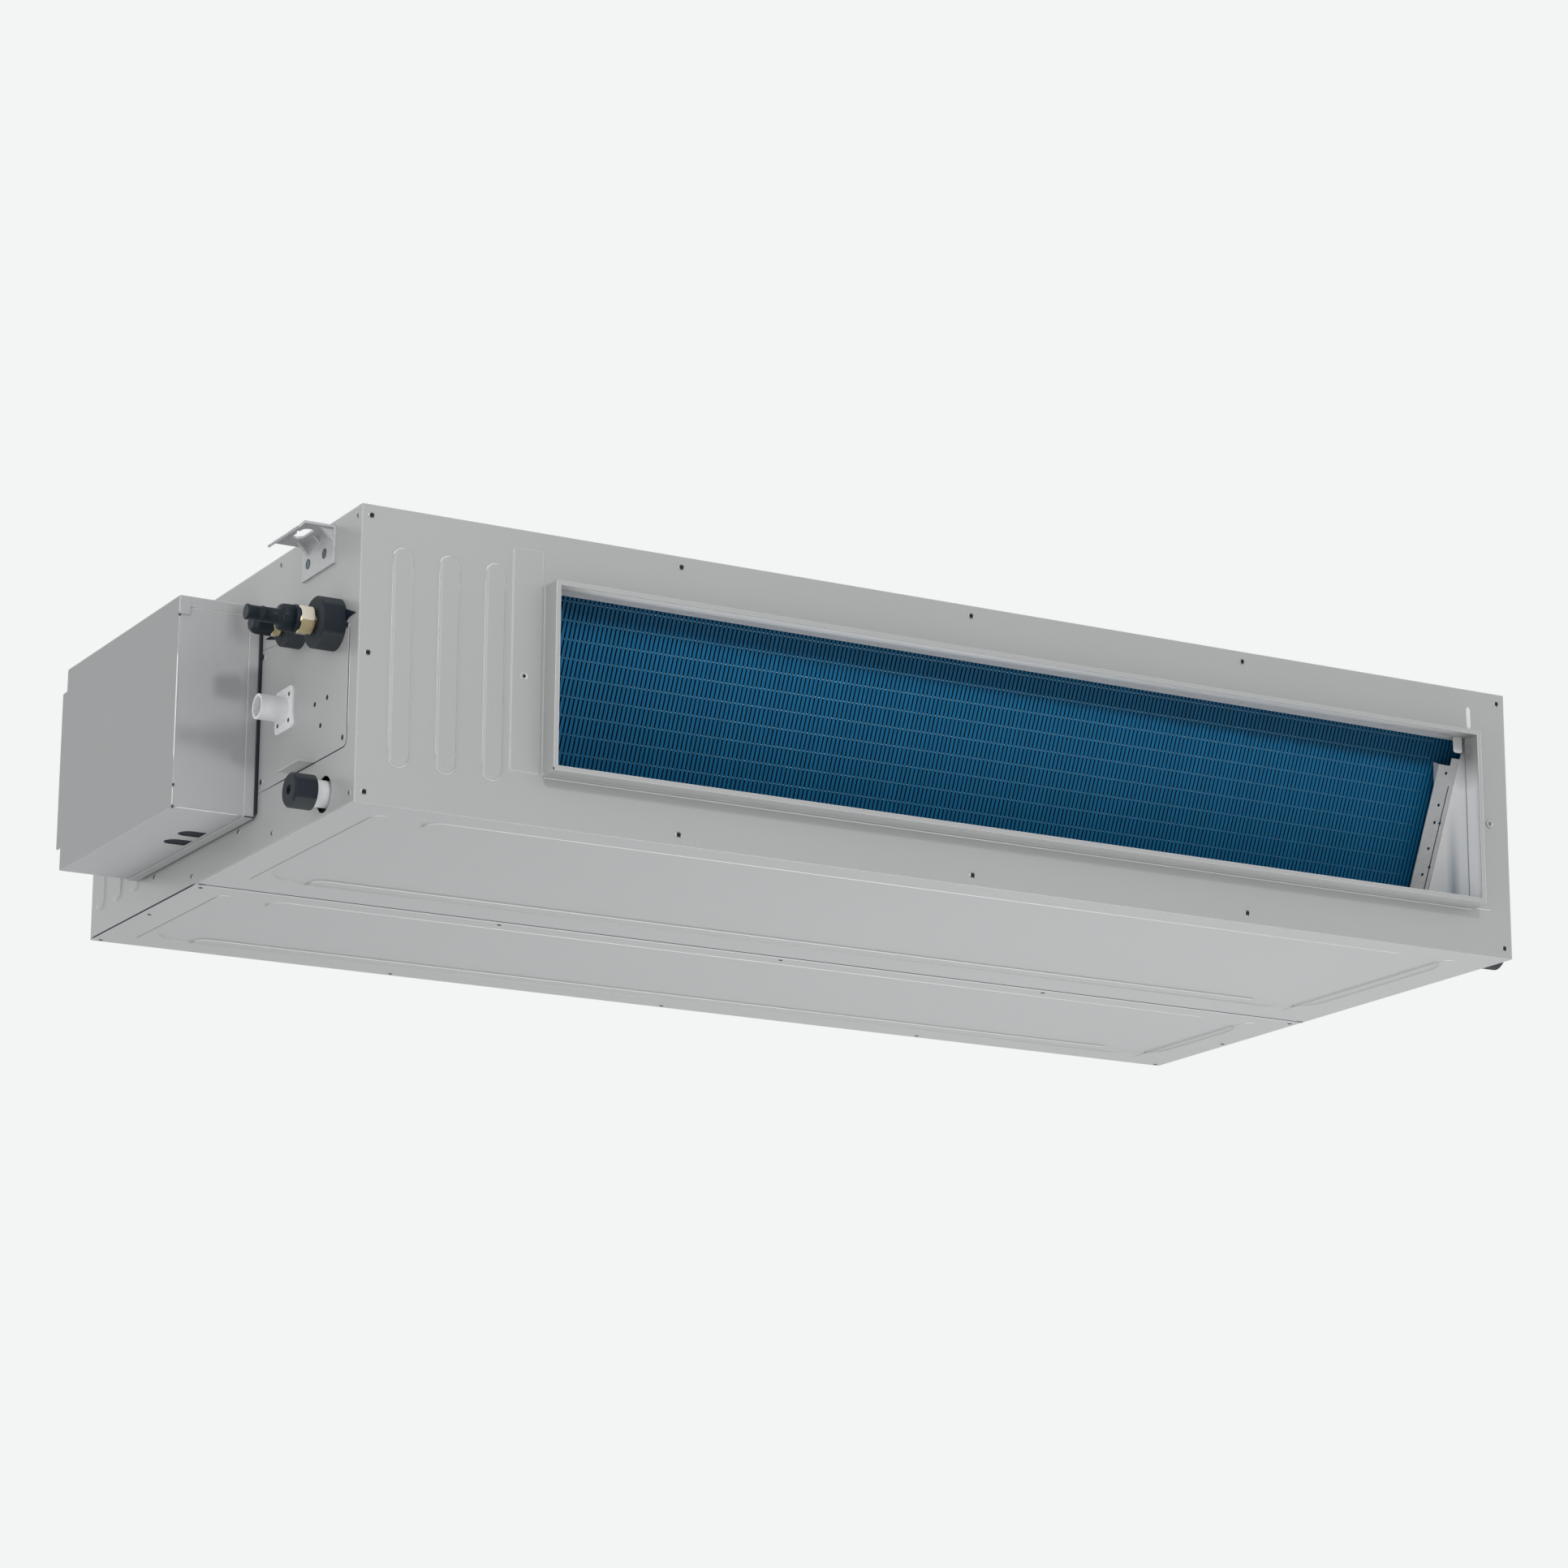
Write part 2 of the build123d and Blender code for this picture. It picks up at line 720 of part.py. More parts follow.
# The right-hand end plate is folded round in front of the fins as a baffle
def make_right_end_plate():
    plate = make_end_plate(fin_right, fin_right + sheet)
    x0 = fin_right - baffle_width
    x1 = fin_right + sheet
    low = slope_at(outlet_low + 8, -baffle_stand_off)
    shoulder = slope_at(outlet_high - 31.5, -baffle_stand_off)
    high = slope_at(outlet_high - 23.5, -baffle_stand_off)
    front = rect(x0, x1, low, shoulder)
    front += rect(x0 + baffle_width * 0.4, x1, low, high)
    for across, drop in ((12, 39.5), (12, 72.5), (12, 90.5), (12, 117.5), (12, 144.5), (19, 90.5), (19, 136.0)):
        hole_up = slope_at(outlet_high - drop, -baffle_stand_off)
        front -= Pos(x0 + across, hole_up) * Circle(baffle_hole_radius)
    slit_low = slope_at(outlet_low + 11, -baffle_stand_off)
    slit_high = slope_at(outlet_high - 52, -baffle_stand_off)
    front -= rect(x0 + 18.2, x0 + 19.8, slit_low, slit_high)
    baffle = extrude(coil_plane(-baffle_stand_off) * front, -sheet)
    wing = Polygon(
        coil_point(shoulder, -baffle_stand_off),
        coil_point(shoulder - 27, -baffle_stand_off),
        coil_point(shoulder, -baffle_stand_off + 12),
        align=None,
    )
    baffle += slab_x(wing, x0, x0 + sheet)
    side = Polygon(
        coil_point(low, -baffle_stand_off),
        coil_point(high, -baffle_stand_off),
        coil_point(high, 0),
        coil_point(low, 0),
        align=None,
    )
    return plate + baffle + slab_x(side, fin_right, fin_right + sheet)


# Linings of white foam between the outlet and the coil
def make_top_lining():
    high = inner_top - top_bead_depth - part_gap
    x0 = fin_left + part_gap
    x1 = fin_right - part_gap
    over_coil = coil_point(coil_length, coil_thickness)[1] + part_gap
    front = rect(2 * sheet + part_gap, coil_point(coil_length, coil_thickness)[0], lining_underside, high)
    profile = front + rect(2 * sheet + part_gap, seam_y - 13, over_coil, high)
    grown = Polygon(
        coil_point(-60, -part_gap),
        coil_point(coil_length + part_gap, -part_gap),
        coil_point(coil_length + part_gap, coil_thickness + part_gap),
        coil_point(-60, coil_thickness + part_gap),
        align=None,
    )
    return slab_x(profile - grown, x0, x1)


def make_side_lining(x0, x1):
    low = pan_rim + part_gap
    high = lining_underside - part_gap
    stand_off = baffle_stand_off + part_gap
    profile = Polygon(
        (sheet + part_gap, low),
        (coil_point(slope_at(low, -stand_off), -stand_off)[0], low),
        (coil_point(slope_at(high, -stand_off), -stand_off)[0], high),
        (sheet + part_gap, high),
        align=None,
    )
    return slab_x(profile, x0, x1)


# Drain pan under the coil, with a hole in each end for a drain socket
def make_drain_pan():
    x0 = pan_end_margin
    x1 = right - pan_end_margin
    pan = slab_x(rect(pan_front, pan_back, pan_underside, pan_rim, 4), x0, x1)
    trough = rect(x0 + pan_wall, x1 - pan_wall, pan_front + pan_wall, pan_back - pan_wall, 10)
    pan -= slab_z(trough, pan_floor, pan_rim + 1)
    pan -= rod_x(drain_y, drain_z, x0 - 1, x1 + 1, drain_radius - 0.5)
    return pan


def make_drain_socket():
    inner = pan_end_margin + pan_wall
    socket = rod_x(drain_y, drain_z, -drain_reach, pan_end_margin, drain_radius)
    socket += rod_x(drain_y, drain_z, pan_end_margin, inner, drain_radius - 0.5)
    return socket - rod_x(drain_y, drain_z, -drain_reach - 1, inner + 1, drain_bore)


def make_drain_plug():
    end = -drain_reach - plug_length
    plug = rod_x(drain_y, drain_z, end, -drain_reach, plug_radius)
    plug = chamfer(plug.edges().group_by(Axis.X)[0], 2)
    return plug - rod_x(drain_y, drain_z, end - 1, end + 10, plug_bore)


# Drain pump: housing, impeller, and the motor above the bracket
def make_pump_housing():
    housing = rod_z(pump_x, stub_y, pump_low, pump_top, pump_radius)
    housing -= rod_z(pump_x, stub_y, pump_low + pump_wall, pump_low + 22, pump_radius - pump_wall)
    housing -= rod_z(pump_x, stub_y, pump_low - 1, pump_low + pump_wall, 7)
    housing -= rod_z(pump_x, stub_y, pump_low + 20, pump_top + 1, impeller_shaft_radius + running_fit)
    port = rod_x(stub_y, pump_low + 12, pump_x - pump_radius - 8, pump_x - pump_radius + 1, hose_radius - 3)
    port -= rod_x(stub_y, pump_low + 12, pump_x - pump_radius - 9, pump_x, hose_radius - 5)
    housing += port
    housing -= rod_x(stub_y, pump_low + 12, pump_x - pump_radius - 9, pump_x - 10, hose_radius - 5)
    return housing


def make_impeller():
    low = pump_low + pump_wall + 2
    hub = rod_z(pump_x, stub_y, low, pump_top + 8, impeller_shaft_radius)
    hub += rod_z(pump_x, stub_y, low, low + 3, impeller_radius)
    vane = rect(impeller_shaft_radius - 1, impeller_radius, -0.8, 0.8)
    vanes = []
    for index in range(4):
        turned = Pos(pump_x, stub_y) * Rotation(0, 0, index * 90) * vane
        vanes.append(slab_z(turned, low + 3, low + 12))
    return hub + vanes


def make_pump_motor():
    bracket_z = pump_top
    y0 = stub_y - pump_shelf_front
    y1 = stub_y + pump_shelf_rear
    shelf = rect(sheet, pump_x + pump_shelf_reach, y0, y1, 3)
    bracket = slab_z(shelf, bracket_z, bracket_z + 2)
    bracket += slab_x(rect(y0, y1, bracket_z, bracket_z + 22), 2 * sheet, 2 * sheet + 2)
    bracket -= slab_z(rect(0, 2 * sheet, stub_y - 40, stub_y + 40), bracket_z - 1, bracket_z + 3)
    bracket -= rod_z(hose_path()[1][0], stub_y, bracket_z - 1, bracket_z + 3, hose_radius + 3)
    motor = rod_z(pump_x, stub_y, bracket_z, bracket_z + 36, pump_radius - 3)
    motor = fillet(motor.edges().group_by(Axis.Z)[-1], 4)
    bore = rod_z(pump_x, stub_y, bracket_z - 1, bracket_z + 9, impeller_shaft_radius + running_fit)
    return bracket + motor - bore


def hose_path():
    turn_x = stub_inside + hose_bend + 2
    port_x = pump_x - pump_radius - 8
    low_z = pump_low + 12
    return ((port_x, low_z), (turn_x, low_z), (turn_x, stub_z), (stub_inside, stub_z))


def make_hose():
    path = hose_path()
    points = [(x, stub_y, z) for x, z in path]
    line = FilletPolyline(*points, radius=min(hose_bend, turn_limit(path)))
    start = Plane(origin=points[0], z_dir=(-1, 0, 0))
    hose = sweep(start * RegularPolygon(hose_radius, 12), path=line)
    return hose - sweep(start * RegularPolygon(hose_radius - 3, 12), path=line)


def turn_limit(path):
    runs = []
    for start, stop in zip(path, path[1:]):
        runs.append(abs(stop[0] - start[0]) + abs(stop[1] - start[1]))
    return 0.9 * min(runs[0], runs[1] / 2, runs[2])


def make_outlet_stub():
    stub = rod_x(stub_y, stub_z, -stub_reach, stub_inside, stub_radius)
    half = stub_flange / 2
    flange = rect(stub_y - half, stub_y + half, stub_z - half, stub_z + half, 6)
    stub += slab_x(flange, -stub_flange_sheet, 0)
    return stub - rod_x(stub_y, stub_z, -stub_reach - 1, stub_inside + 1, stub_bore)


def make_float_stem():
    base = pan_floor
    stop = base + 3 + part_gap + float_height + float_travel + part_gap
    stem = rod_z(float_x, float_y, base, stop + 8, stem_radius)
    stem += rod_z(float_x, float_y, base, base + 3, stem_radius + 5)
    return stem + rod_z(float_x, float_y, stop, stop + 2, stem_radius + 2.5)


def make_float():
    low = pan_floor + 3 + part_gap
    ring = rod_z(float_x, float_y, low, low + float_height, float_radius)
    return ring - rod_z(float_x, float_y, low - 1, low + float_height + 1, stem_radius + part_gap)


# Suction header, distributor and the two pipes to the flare joints
def make_header():
    up0 = coil_tube_pitch
    up1 = coil_length - coil_tube_pitch
    y0, z0 = coil_point(up0, coil_tube_depth)
    axis = Plane(origin=(header_x, y0, z0), x_dir=(1, 0, 0), z_dir=(0, -lean_sin, lean_cos))
    header = extrude(axis * Circle(header_radius), up1 - up0)
    header = chamfer(header.edges().filter_by(GeomType.CIRCLE), 4)
    stubs = []
    for up in tube_places()[2::2]:
        if up < up1:
            y, z = coil_point(up, coil_tube_depth)
            stubs.append(rod_x(y, z, header_x, fin_left - sheet - 3, coil_tube_radius))
    return header + stubs


def make_gas_pipe():
    pipe = rod_x(gas_pipe_y, gas_pipe_z, gas_nut_front - gas_nut_length, header_x, gas_pipe_radius)
    pipe -= rod_x(gas_pipe_y, gas_pipe_z, -100, header_x - header_radius - 6, gas_pipe_radius - 1.2)
    return pipe - make_header()


def make_liquid_pipe():
    start = liquid_nut_front - liquid_nut_length
    pipe = rod_x(liquid_pipe_y, liquid_pipe_z, start, header_x - 75, liquid_pipe_radius)
    return pipe - rod_x(liquid_pipe_y, liquid_pipe_z, start - 1, header_x - 76, liquid_pipe_radius - 0.9)


def make_distributor():
    x0 = header_x - 75
    x1 = x0 + 30
    profile = Polyline((x0, 0), (x0, 7), (x0 + 10, 7), (x1 - 6, 13), (x1, 13), (x1, 0), close=True)
    body = revolve(make_face(profile), Axis.X, 360)
    body = Pos(0, liquid_pipe_y, liquid_pipe_z) * body
    feeders = []
    count = 4
    for index in range(count):
        angle = math.radians(45 + 90 * index)
        y0 = liquid_pipe_y + 7 * math.cos(angle)
        z0 = liquid_pipe_z + 7 * math.sin(angle)
        up = coil_length * (0.85 - 0.2 * index)
        y1, z1 = coil_point(up, coil_thickness - coil_tube_depth)
        x2 = fin_left - sheet
        points = ((x1 - 2, y0, z0), (x1 + 16, y0, z0), (x2 - 22, y1, z1), (x2, y1, z1))
        line = FilletPolyline(*points, radius=12)
        start = Plane(origin=points[0], z_dir=(1, 0, 0))
        feeders.append(sweep(start * RegularPolygon(feeder_radius, 6), path=line))
    return body + feeders


def make_sleeve(y, z, reach, outer, pipe_radius):
    sleeve = rod_x(y, z, -reach, 0, outer)
    sleeve = chamfer(sleeve.edges().group_by(Axis.X)[0], 1.5)
    return sleeve - rod_x(y, z, -reach - 1, 1, pipe_radius + 0.1)


def make_nut(y, z, front, length, flats, pipe_radius):
    hexagon = Pos(y, z) * Rotation(0, 0, 12) * RegularPolygon(flats / 2, 6, major_radius=False)
    nut = slab_x(hexagon, front - length, front)
    crown = rod_x(y, z, front - length, front, flats / 2 / math.cos(math.radians(30)))
    crown = chamfer(crown.edges(), 1.4)
    nut = nut & crown
    return nut - rod_x(y, z, front - length - 1, front + 1, pipe_radius + 0.05)


# Shipping caps screwed on the flare nuts
def make_gas_cap():
    x0 = gas_nut_front - gas_nut_length
    x1 = x0 - gas_cap_length
    x2 = x1 - gas_cap_nose
    profile = Polyline(
        (x0, 0),
        (x0, gas_cap_radius - 1),
        (x0 - 1, gas_cap_radius),
        (x1 + 2.5, gas_cap_radius),
        (x1, gas_cap_radius - 2.5),
        (x1, 6.75),
        (x1 - gas_cap_nose * 0.6, 6.75),
        (x1 - gas_cap_nose * 0.6 - 1, 6.2),
        (x2 + 1, 6.0),
        (x2, 5.0),
        (x2, 0),
        close=True,
    )
    cap = Pos(0, gas_pipe_y, gas_pipe_z) * revolve(make_face(profile), Axis.X, 360)
    grooves = []
    for index in range(12):
        angle = math.radians(index * 30)
        y = gas_pipe_y + gas_cap_radius * math.cos(angle)
        z = gas_pipe_z + gas_cap_radius * math.sin(angle)
        mark = Pos(y, z) * RegularPolygon(0.9, 4)
        grooves.append(slab_x(mark, x1 - 1, x0 - 2))
    return cap - grooves


def make_liquid_cap():
    x0 = liquid_nut_front - liquid_nut_length
    x1 = x0 - liquid_cap_length
    profile = Polyline(
        (x0, 0),
        (x0, liquid_cap_radius - 1),
        (x0 - 1, liquid_cap_radius),
        (x1 + 3, liquid_cap_radius),
        (x1, liquid_cap_radius - 3),
        (x1, 0),
        close=True,
    )
    return Pos(0, liquid_pipe_y, liquid_pipe_z) * revolve(make_face(profile), Axis.X, 360)


def make_pipe_seal():
    y0 = 2 * sheet + 1
    y1 = slit_back[0] + 4
    z0 = slit_front[1] - 24
    z1 = slit_back[1] + 14
    seal = slab_x(rect(y0, y1, z0, z1, 4), 2 * sheet, 2 * sheet + seal_depth)
    seal -= rod_x(gas_pipe_y, gas_pipe_z, 0, 40, gas_pipe_radius + 0.1)
    return seal - rod_x(liquid_pipe_y, liquid_pipe_z, 0, 40, liquid_pipe_radius + 0.1)


# Spiral outline of a fan housing round its shaft, drawn in by the inset, with the mouth
# towards the front
def scroll_outline(inset):
    points = []
    steps = 12
    turn = 270 + scroll_tongue
    for index in range(steps + 1):
        angle = -scroll_tongue + turn * index / steps
        growth = max(0.0, angle / 270)
        radius = scroll_start + scroll_spread * growth - inset
        side = math.radians(angle)
        points.append((fan_y - radius * math.cos(side), fan_z + radius * math.sin(side)))
    mouth_y = deck_back if inset == 0 else deck_back - 1
    low = mouth_low + inset
    high = mouth_high - inset
    points[0] = (points[0][0], high)
    points[-1] = (fan_y, low)
    outline = Polyline(points[-1], (mouth_y, low), (mouth_y, high), points[0])
    for index in range(0, steps, 2):
        outline += ThreePointArc(points[index], points[index + 1], points[index + 2])
    return make_face(outline)


def make_scroll(fan_x):
    x0 = fan_x - scroll_half
    x1 = fan_x + scroll_half
    scroll = slab_x(scroll_outline(0), x0, x1)
    scroll -= slab_x(scroll_outline(scroll_wall), x0 + scroll_wall, x1 - scroll_wall)
    for start, stop in ((x0 - 3, x0 + scroll_wall + 3), (x1 - scroll_wall - 3, x1 + 3)):
        scroll += rod_x(fan_y, fan_z, start, stop, inlet_radius + 3)
    scroll -= rod_x(fan_y, fan_z, x0 - 4, x1 + 4, inlet_radius)
    return scroll


def half_of(shape, upper):
    size = 4 * scroll_end
    shift = size / 2 if upper else -size / 2
    centre = Vector(*shape.bounding_box().center())
    return shape & Pos(centre.X, centre.Y, fan_z + shift) * Box(2 * size, 2 * size, size)


def polar(radius, angle):
    side = math.radians(angle)
    return radius * math.cos(side), radius * math.sin(side)


# Forward-curved wheel with air drawn in at both ends
def make_wheel(fan_x):
    inner = wheel_inner_radius + 0.5
    outer = wheel_radius - 0.5
    belly = (inner + outer) / 2

    def edge(turn):
        return polar(inner, turn), polar(belly, turn - blade_sweep * 0.15), polar(outer, turn - blade_sweep)

    a, b, c = edge(0)
    d, e, f = edge(blade_turn)
    section = make_face(Polyline(a, b, c, f, e, d, close=True))
    half = wheel_width / 2
    blades = []
    for index in range(blade_count):
        turned = Pos(fan_y, fan_z) * Rotation(0, 0, 360 * index / blade_count) * section
        blades.append(slab_x(turned, fan_x - half, fan_x + half))
    wheel = rod_x(fan_y, fan_z, fan_x - 1.5, fan_x + 1.5, wheel_radius)
    ring = Pos(fan_y, fan_z) * (Circle(wheel_radius) - Circle(wheel_inner_radius))
    wheel += slab_x(ring, fan_x - half, fan_x - half + wheel_ring)
    wheel += slab_x(ring, fan_x + half - wheel_ring, fan_x + half)
    wheel += rod_x(fan_y, fan_z, fan_x - hub_half, fan_x + hub_half, hub_radius)
    wheel += blades
    return wheel - rod_x(fan_y, fan_z, fan_x - hub_half - 1, fan_x + hub_half + 1, shaft_radius)


def make_shaft():
    end = hub_half + 8
    return rod_x(fan_y, fan_z, left_fan_x - end, right_fan_x + end, shaft_radius)


def make_motor():
    a = motor_half
    b = a + motor_shield
    c = b + motor_boss
    bore = shaft_radius + running_fit
    profile = Polyline(
        (-c, bore),
        (-c, motor_boss_radius),
        (-b, motor_boss_radius),
        (-b, motor_radius - 20),
        (-a, motor_radius - 4),
        (-a + 4, motor_radius),
        (a - 4, motor_radius),
        (a, motor_radius - 4),
        (b, motor_radius - 20),
        (b, motor_boss_radius),
        (c, motor_boss_radius),
        (c, bore),
        close=True,
    )
    return Pos(middle, fan_y, fan_z) * revolve(make_face(profile), Axis.X, 360)


def cradle_places():
    centre = motor_half + motor_shield + motor_boss / 2
    return (middle - centre, middle + centre)


# Two arms from the partition that carry the motor at its rubber rings
def make_cradle():
    arm = Polygon(
        (deck_back, fan_z - motor_radius - 14),
        (deck_back, fan_z + 30),
        (deck_back + 24, fan_z + 30),
        (fan_y - motor_boss_radius - 16, fan_z),
        (fan_y + motor_boss_radius + 16, fan_z),
        (fan_y + motor_boss_radius + 16, fan_z - 22),
        (fan_y, fan_z - motor_boss_radius - 22),
        align=None,
    )
    arm -= Pos(fan_y, fan_z) * Circle(motor_boss_radius)
    x0, x1 = cradle_places()
    web = rect(x0 - 5, x1 + 5, fan_z - motor_radius - 14, fan_z + 30)
    cradle = slab_y(web, deck_back, deck_back + cradle_sheet)
    for x in (x0, x1):
        cradle += slab_x(arm, x - cradle_sheet / 2, x + cradle_sheet / 2)
        for side in (-1, 1):
            y = fan_y + side * (motor_boss_radius + 10)
            cradle += slab_z(rect(x - 7, x + 7, y - 6, y + 6), fan_z - cradle_sheet, fan_z)
    return cradle


def make_straps():
    straps = []
    hoop = Circle(motor_boss_radius + cradle_sheet) - Circle(motor_boss_radius)
    hoop &= rect(-60, 60, 0, 60)
    inner = motor_boss_radius + 1
    for side in (-1, 1):
        ends = sorted((side * inner, side * (inner + 15)))
        hoop += rect(ends[0], ends[1], 0, cradle_sheet)
    for x in cradle_places():
        straps.append(slab_x(Pos(fan_y, fan_z) * hoop, x - 6, x + 6))
    return straps


# Electric box: a base tray held off the wall, with a deep cover over it
def make_box_base():
    base = slab_x(rect(box_front, box_back, box_low, box_high, 3), -box_gap - box_flange, -box_gap)
    inner = box_sheet
    hollow = rect(box_front + inner, box_back - inner, box_low + inner, box_high - inner, 2)
    base -= slab_x(hollow, -box_gap - box_flange - 1, -box_gap - box_sheet)
    for y in (box_front + 40, box_back - 40):
        for z in (box_low + 30, box_high - 30):
            base += rod_x(y, z, -box_gap, 0, 7)
    return base


def make_box_cover():
    grow = box_sheet + 0.1
    y0 = box_front + grow
    y1 = box_back - grow
    z0 = box_low + grow
    z1 = box_high - grow
    seat = -box_gap - box_sheet
    cover = slab_x(rect(y0, y1, z0, z1, 2), -box_reach, seat)
    hollow = rect(y0 + box_sheet, y1 - box_sheet, z0 + box_sheet, z1 - box_sheet, 1)
    cover -= slab_x(hollow, -box_reach + box_sheet, seat + 1)
    rear = rect(y1 - 5, box_back + box_rear_flange, box_low + 26, box_high - 25, 2)
    cover += slab_x(rear, -box_reach, -box_reach + box_sheet)
    for index in range(2):
        y = box_front + cable_slot_first + index * cable_slot_pitch
        slot = rect(-cable_slot_outer, -cable_slot_inner, y, y + cable_slot_length)
        rounded = slot.vertices().group_by(Axis.X)[0]
        slot = fillet(rounded, cable_slot_length / 2 - 0.5)
        cover -= slab_z(slot, box_low - 1, z0 + 2 * box_sheet)
    return cover


# Control board on four pillars, with its larger components
def make_board():
    board_x = -box_gap - board_stand_off
    board_face = board_x - board_sheet
    y0 = box_front + board_front_margin
    y1 = box_back - board_back_margin
    z0 = box_low + board_low_margin
    z1 = box_high - board_high_margin
    board = slab_x(rect(y0, y1, z0, z1), board_face, board_x)
    for y in (y0 + 8, y1 - 8):
        for z in (z0 + 8, z1 - 8):
            board += rod_x(y, z, board_x, -box_gap - box_sheet, 3)
    parts_on_board = ((20, 30, 34, 26), (70, 28, 22, 18), (110, 60, 60, 12), (190, 40, 30, 22))
    for along, up, size, height in parts_on_board:
        block = rect(y0 + along, y0 + along + size, z0 + up, z0 + up + size * 0.7)
        board += slab_x(block, board_face - height, board_face)
    for index in range(2):
        board += rod_x(y0 + 180, z0 + 100 + index * 26, board_face - 34, board_face, 10)
    return board


def make_terminals():
    x0 = -box_gap - box_sheet
    y0 = box_front + terminal_first
    z0 = box_low + terminal_low
    z1 = z0 + terminal_height
    end = y0 + terminal_count * terminal_pitch + terminal_wall
    block = slab_x(rect(y0, end, z0, z1), x0 - terminal_floor, x0)
    for index in range(terminal_count + 1):
        y = y0 + index * terminal_pitch
        block += slab_x(rect(y, y + terminal_wall, z0, z1), x0 - terminal_reach, x0 - terminal_floor)
    return block


# Build and save every piece
front_press = (press_margin, seam_y - press_seam_front)
rear_press = (seam_y + press_seam_rear, back - press_margin)

save("top_panel", make_top_panel())
save("left_side_panel", make_left_wall())
save("right_side_panel", to_right(make_side_wall()))
save("front_outlet_panel", make_front_panel())
save("front_bottom_panel", make_underside(sheet, seam_y - 0.2, *front_press))
save("rear_bottom_panel", make_underside(seam_y + 0.2, back - sheet, *rear_press))
save("rear_inlet_frame", make_inlet_frame())
save("pipe_cover_plate", make_pipe_cover())
bracket = make_bracket()
save("hanger_bracket_front_left", bracket)
save("hanger_bracket_rear_left", to_back(bracket))
save("hanger_bracket_front_right", to_right(bracket))
save("hanger_bracket_rear_right", to_right(to_back(bracket)))
save("bracket_screws", make_bracket_screws())
save("casing_screws", make_casing_screws())
save("fan_deck", make_fan_deck())

save("coil_fins", make_coil_fins())
save("coil_tubes", make_coil_tubes())
save("coil_end_plate_left", make_left_end_plate())
save("coil_end_plate_right", make_right_end_plate())
save("top_lining", make_top_lining())
save("left_lining", make_side_lining(outlet_left - lining_skin, outlet_left))
save("right_lining", make_side_lining(outlet_right - sheet, outlet_right - sheet + lining_skin))
save("drain_pan", make_drain_pan())
socket = make_drain_socket()
save("drain_sockets", [socket, to_right(socket)])
plug = make_drain_plug()
save("drain_plugs", [plug, to_right(plug)])

save("suction_header", make_header())
save("liquid_distributor", make_distributor())
save("gas_pipe", make_gas_pipe())
save("liquid_pipe", make_liquid_pipe())
gas_sleeve = make_sleeve(gas_pipe_y, gas_pipe_z, gas_sleeve_reach, gas_sleeve_radius, gas_pipe_radius)
save("gas_pipe_sleeve", gas_sleeve)
liquid_sleeve = make_sleeve(
    liquid_pipe_y, liquid_pipe_z, liquid_sleeve_reach, liquid_sleeve_radius, liquid_pipe_radius
)
save("liquid_pipe_sleeve", liquid_sleeve)
gas_nut = make_nut(gas_pipe_y, gas_pipe_z, gas_nut_front, gas_nut_length, gas_nut_flats, gas_pipe_radius)
save("gas_flare_nut", gas_nut)
liquid_nut = make_nut(
    liquid_pipe_y, liquid_pipe_z, liquid_nut_front, liquid_nut_length, liquid_nut_flats, liquid_pipe_radius
)
save("liquid_flare_nut", liquid_nut)
save("gas_pipe_cap", make_gas_cap())
save("liquid_pipe_cap", make_liquid_cap())
save("pipe_seal", make_pipe_seal())

save("pump_housing", make_pump_housing())
save("pump_impeller", make_impeller())
save("pump_motor", make_pump_motor())
save("pump_hose", make_hose())
save("pump_outlet_stub", make_outlet_stub())
save("float_stem", make_float_stem())
save("float_ring", make_float())

scroll = make_scroll(left_fan_x)
upper_scroll = half_of(scroll, True)
lower_scroll = half_of(scroll, False)
wheel = make_wheel(left_fan_x)
for side, shift in (("left", 0), ("right", right_fan_x - left_fan_x)):
    save("fan_scroll_" + side + "_upper", Pos(shift, 0, 0) * upper_scroll)
    save("fan_scroll_" + side + "_lower", Pos(shift, 0, 0) * lower_scroll)
    save("fan_wheel_" + side, Pos(shift, 0, 0) * wheel)
save("fan_shaft", make_shaft())
save("fan_motor", make_motor())
save("motor_cradle", make_cradle())
save("motor_straps", make_straps())

left_filter = make_left_filter()
save("filter_left", left_filter)
save("filter_right", to_right(left_filter))

save("electric_box_base", make_box_base())
save("electric_box_cover", make_box_cover())
save("control_board", make_board())
save("terminal_block", make_terminals())
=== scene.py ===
import bmesh
import bpy
import json
import math
from mathutils import Matrix, Vector


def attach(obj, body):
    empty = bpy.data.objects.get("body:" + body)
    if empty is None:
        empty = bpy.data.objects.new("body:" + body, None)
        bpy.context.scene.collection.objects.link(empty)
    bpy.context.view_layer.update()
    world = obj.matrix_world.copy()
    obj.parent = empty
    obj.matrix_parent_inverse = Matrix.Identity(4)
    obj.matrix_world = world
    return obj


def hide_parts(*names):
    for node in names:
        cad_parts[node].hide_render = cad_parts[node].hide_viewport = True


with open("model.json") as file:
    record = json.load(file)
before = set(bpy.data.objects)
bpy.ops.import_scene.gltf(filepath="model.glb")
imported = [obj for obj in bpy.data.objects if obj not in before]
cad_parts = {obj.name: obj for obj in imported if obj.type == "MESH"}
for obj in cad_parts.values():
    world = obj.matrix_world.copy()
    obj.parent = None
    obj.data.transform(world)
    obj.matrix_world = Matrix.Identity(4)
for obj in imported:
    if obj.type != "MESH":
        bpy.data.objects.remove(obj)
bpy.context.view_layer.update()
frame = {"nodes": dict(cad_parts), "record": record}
nodes = frame["nodes"]
print("frame loaded:", len(nodes), "nodes")

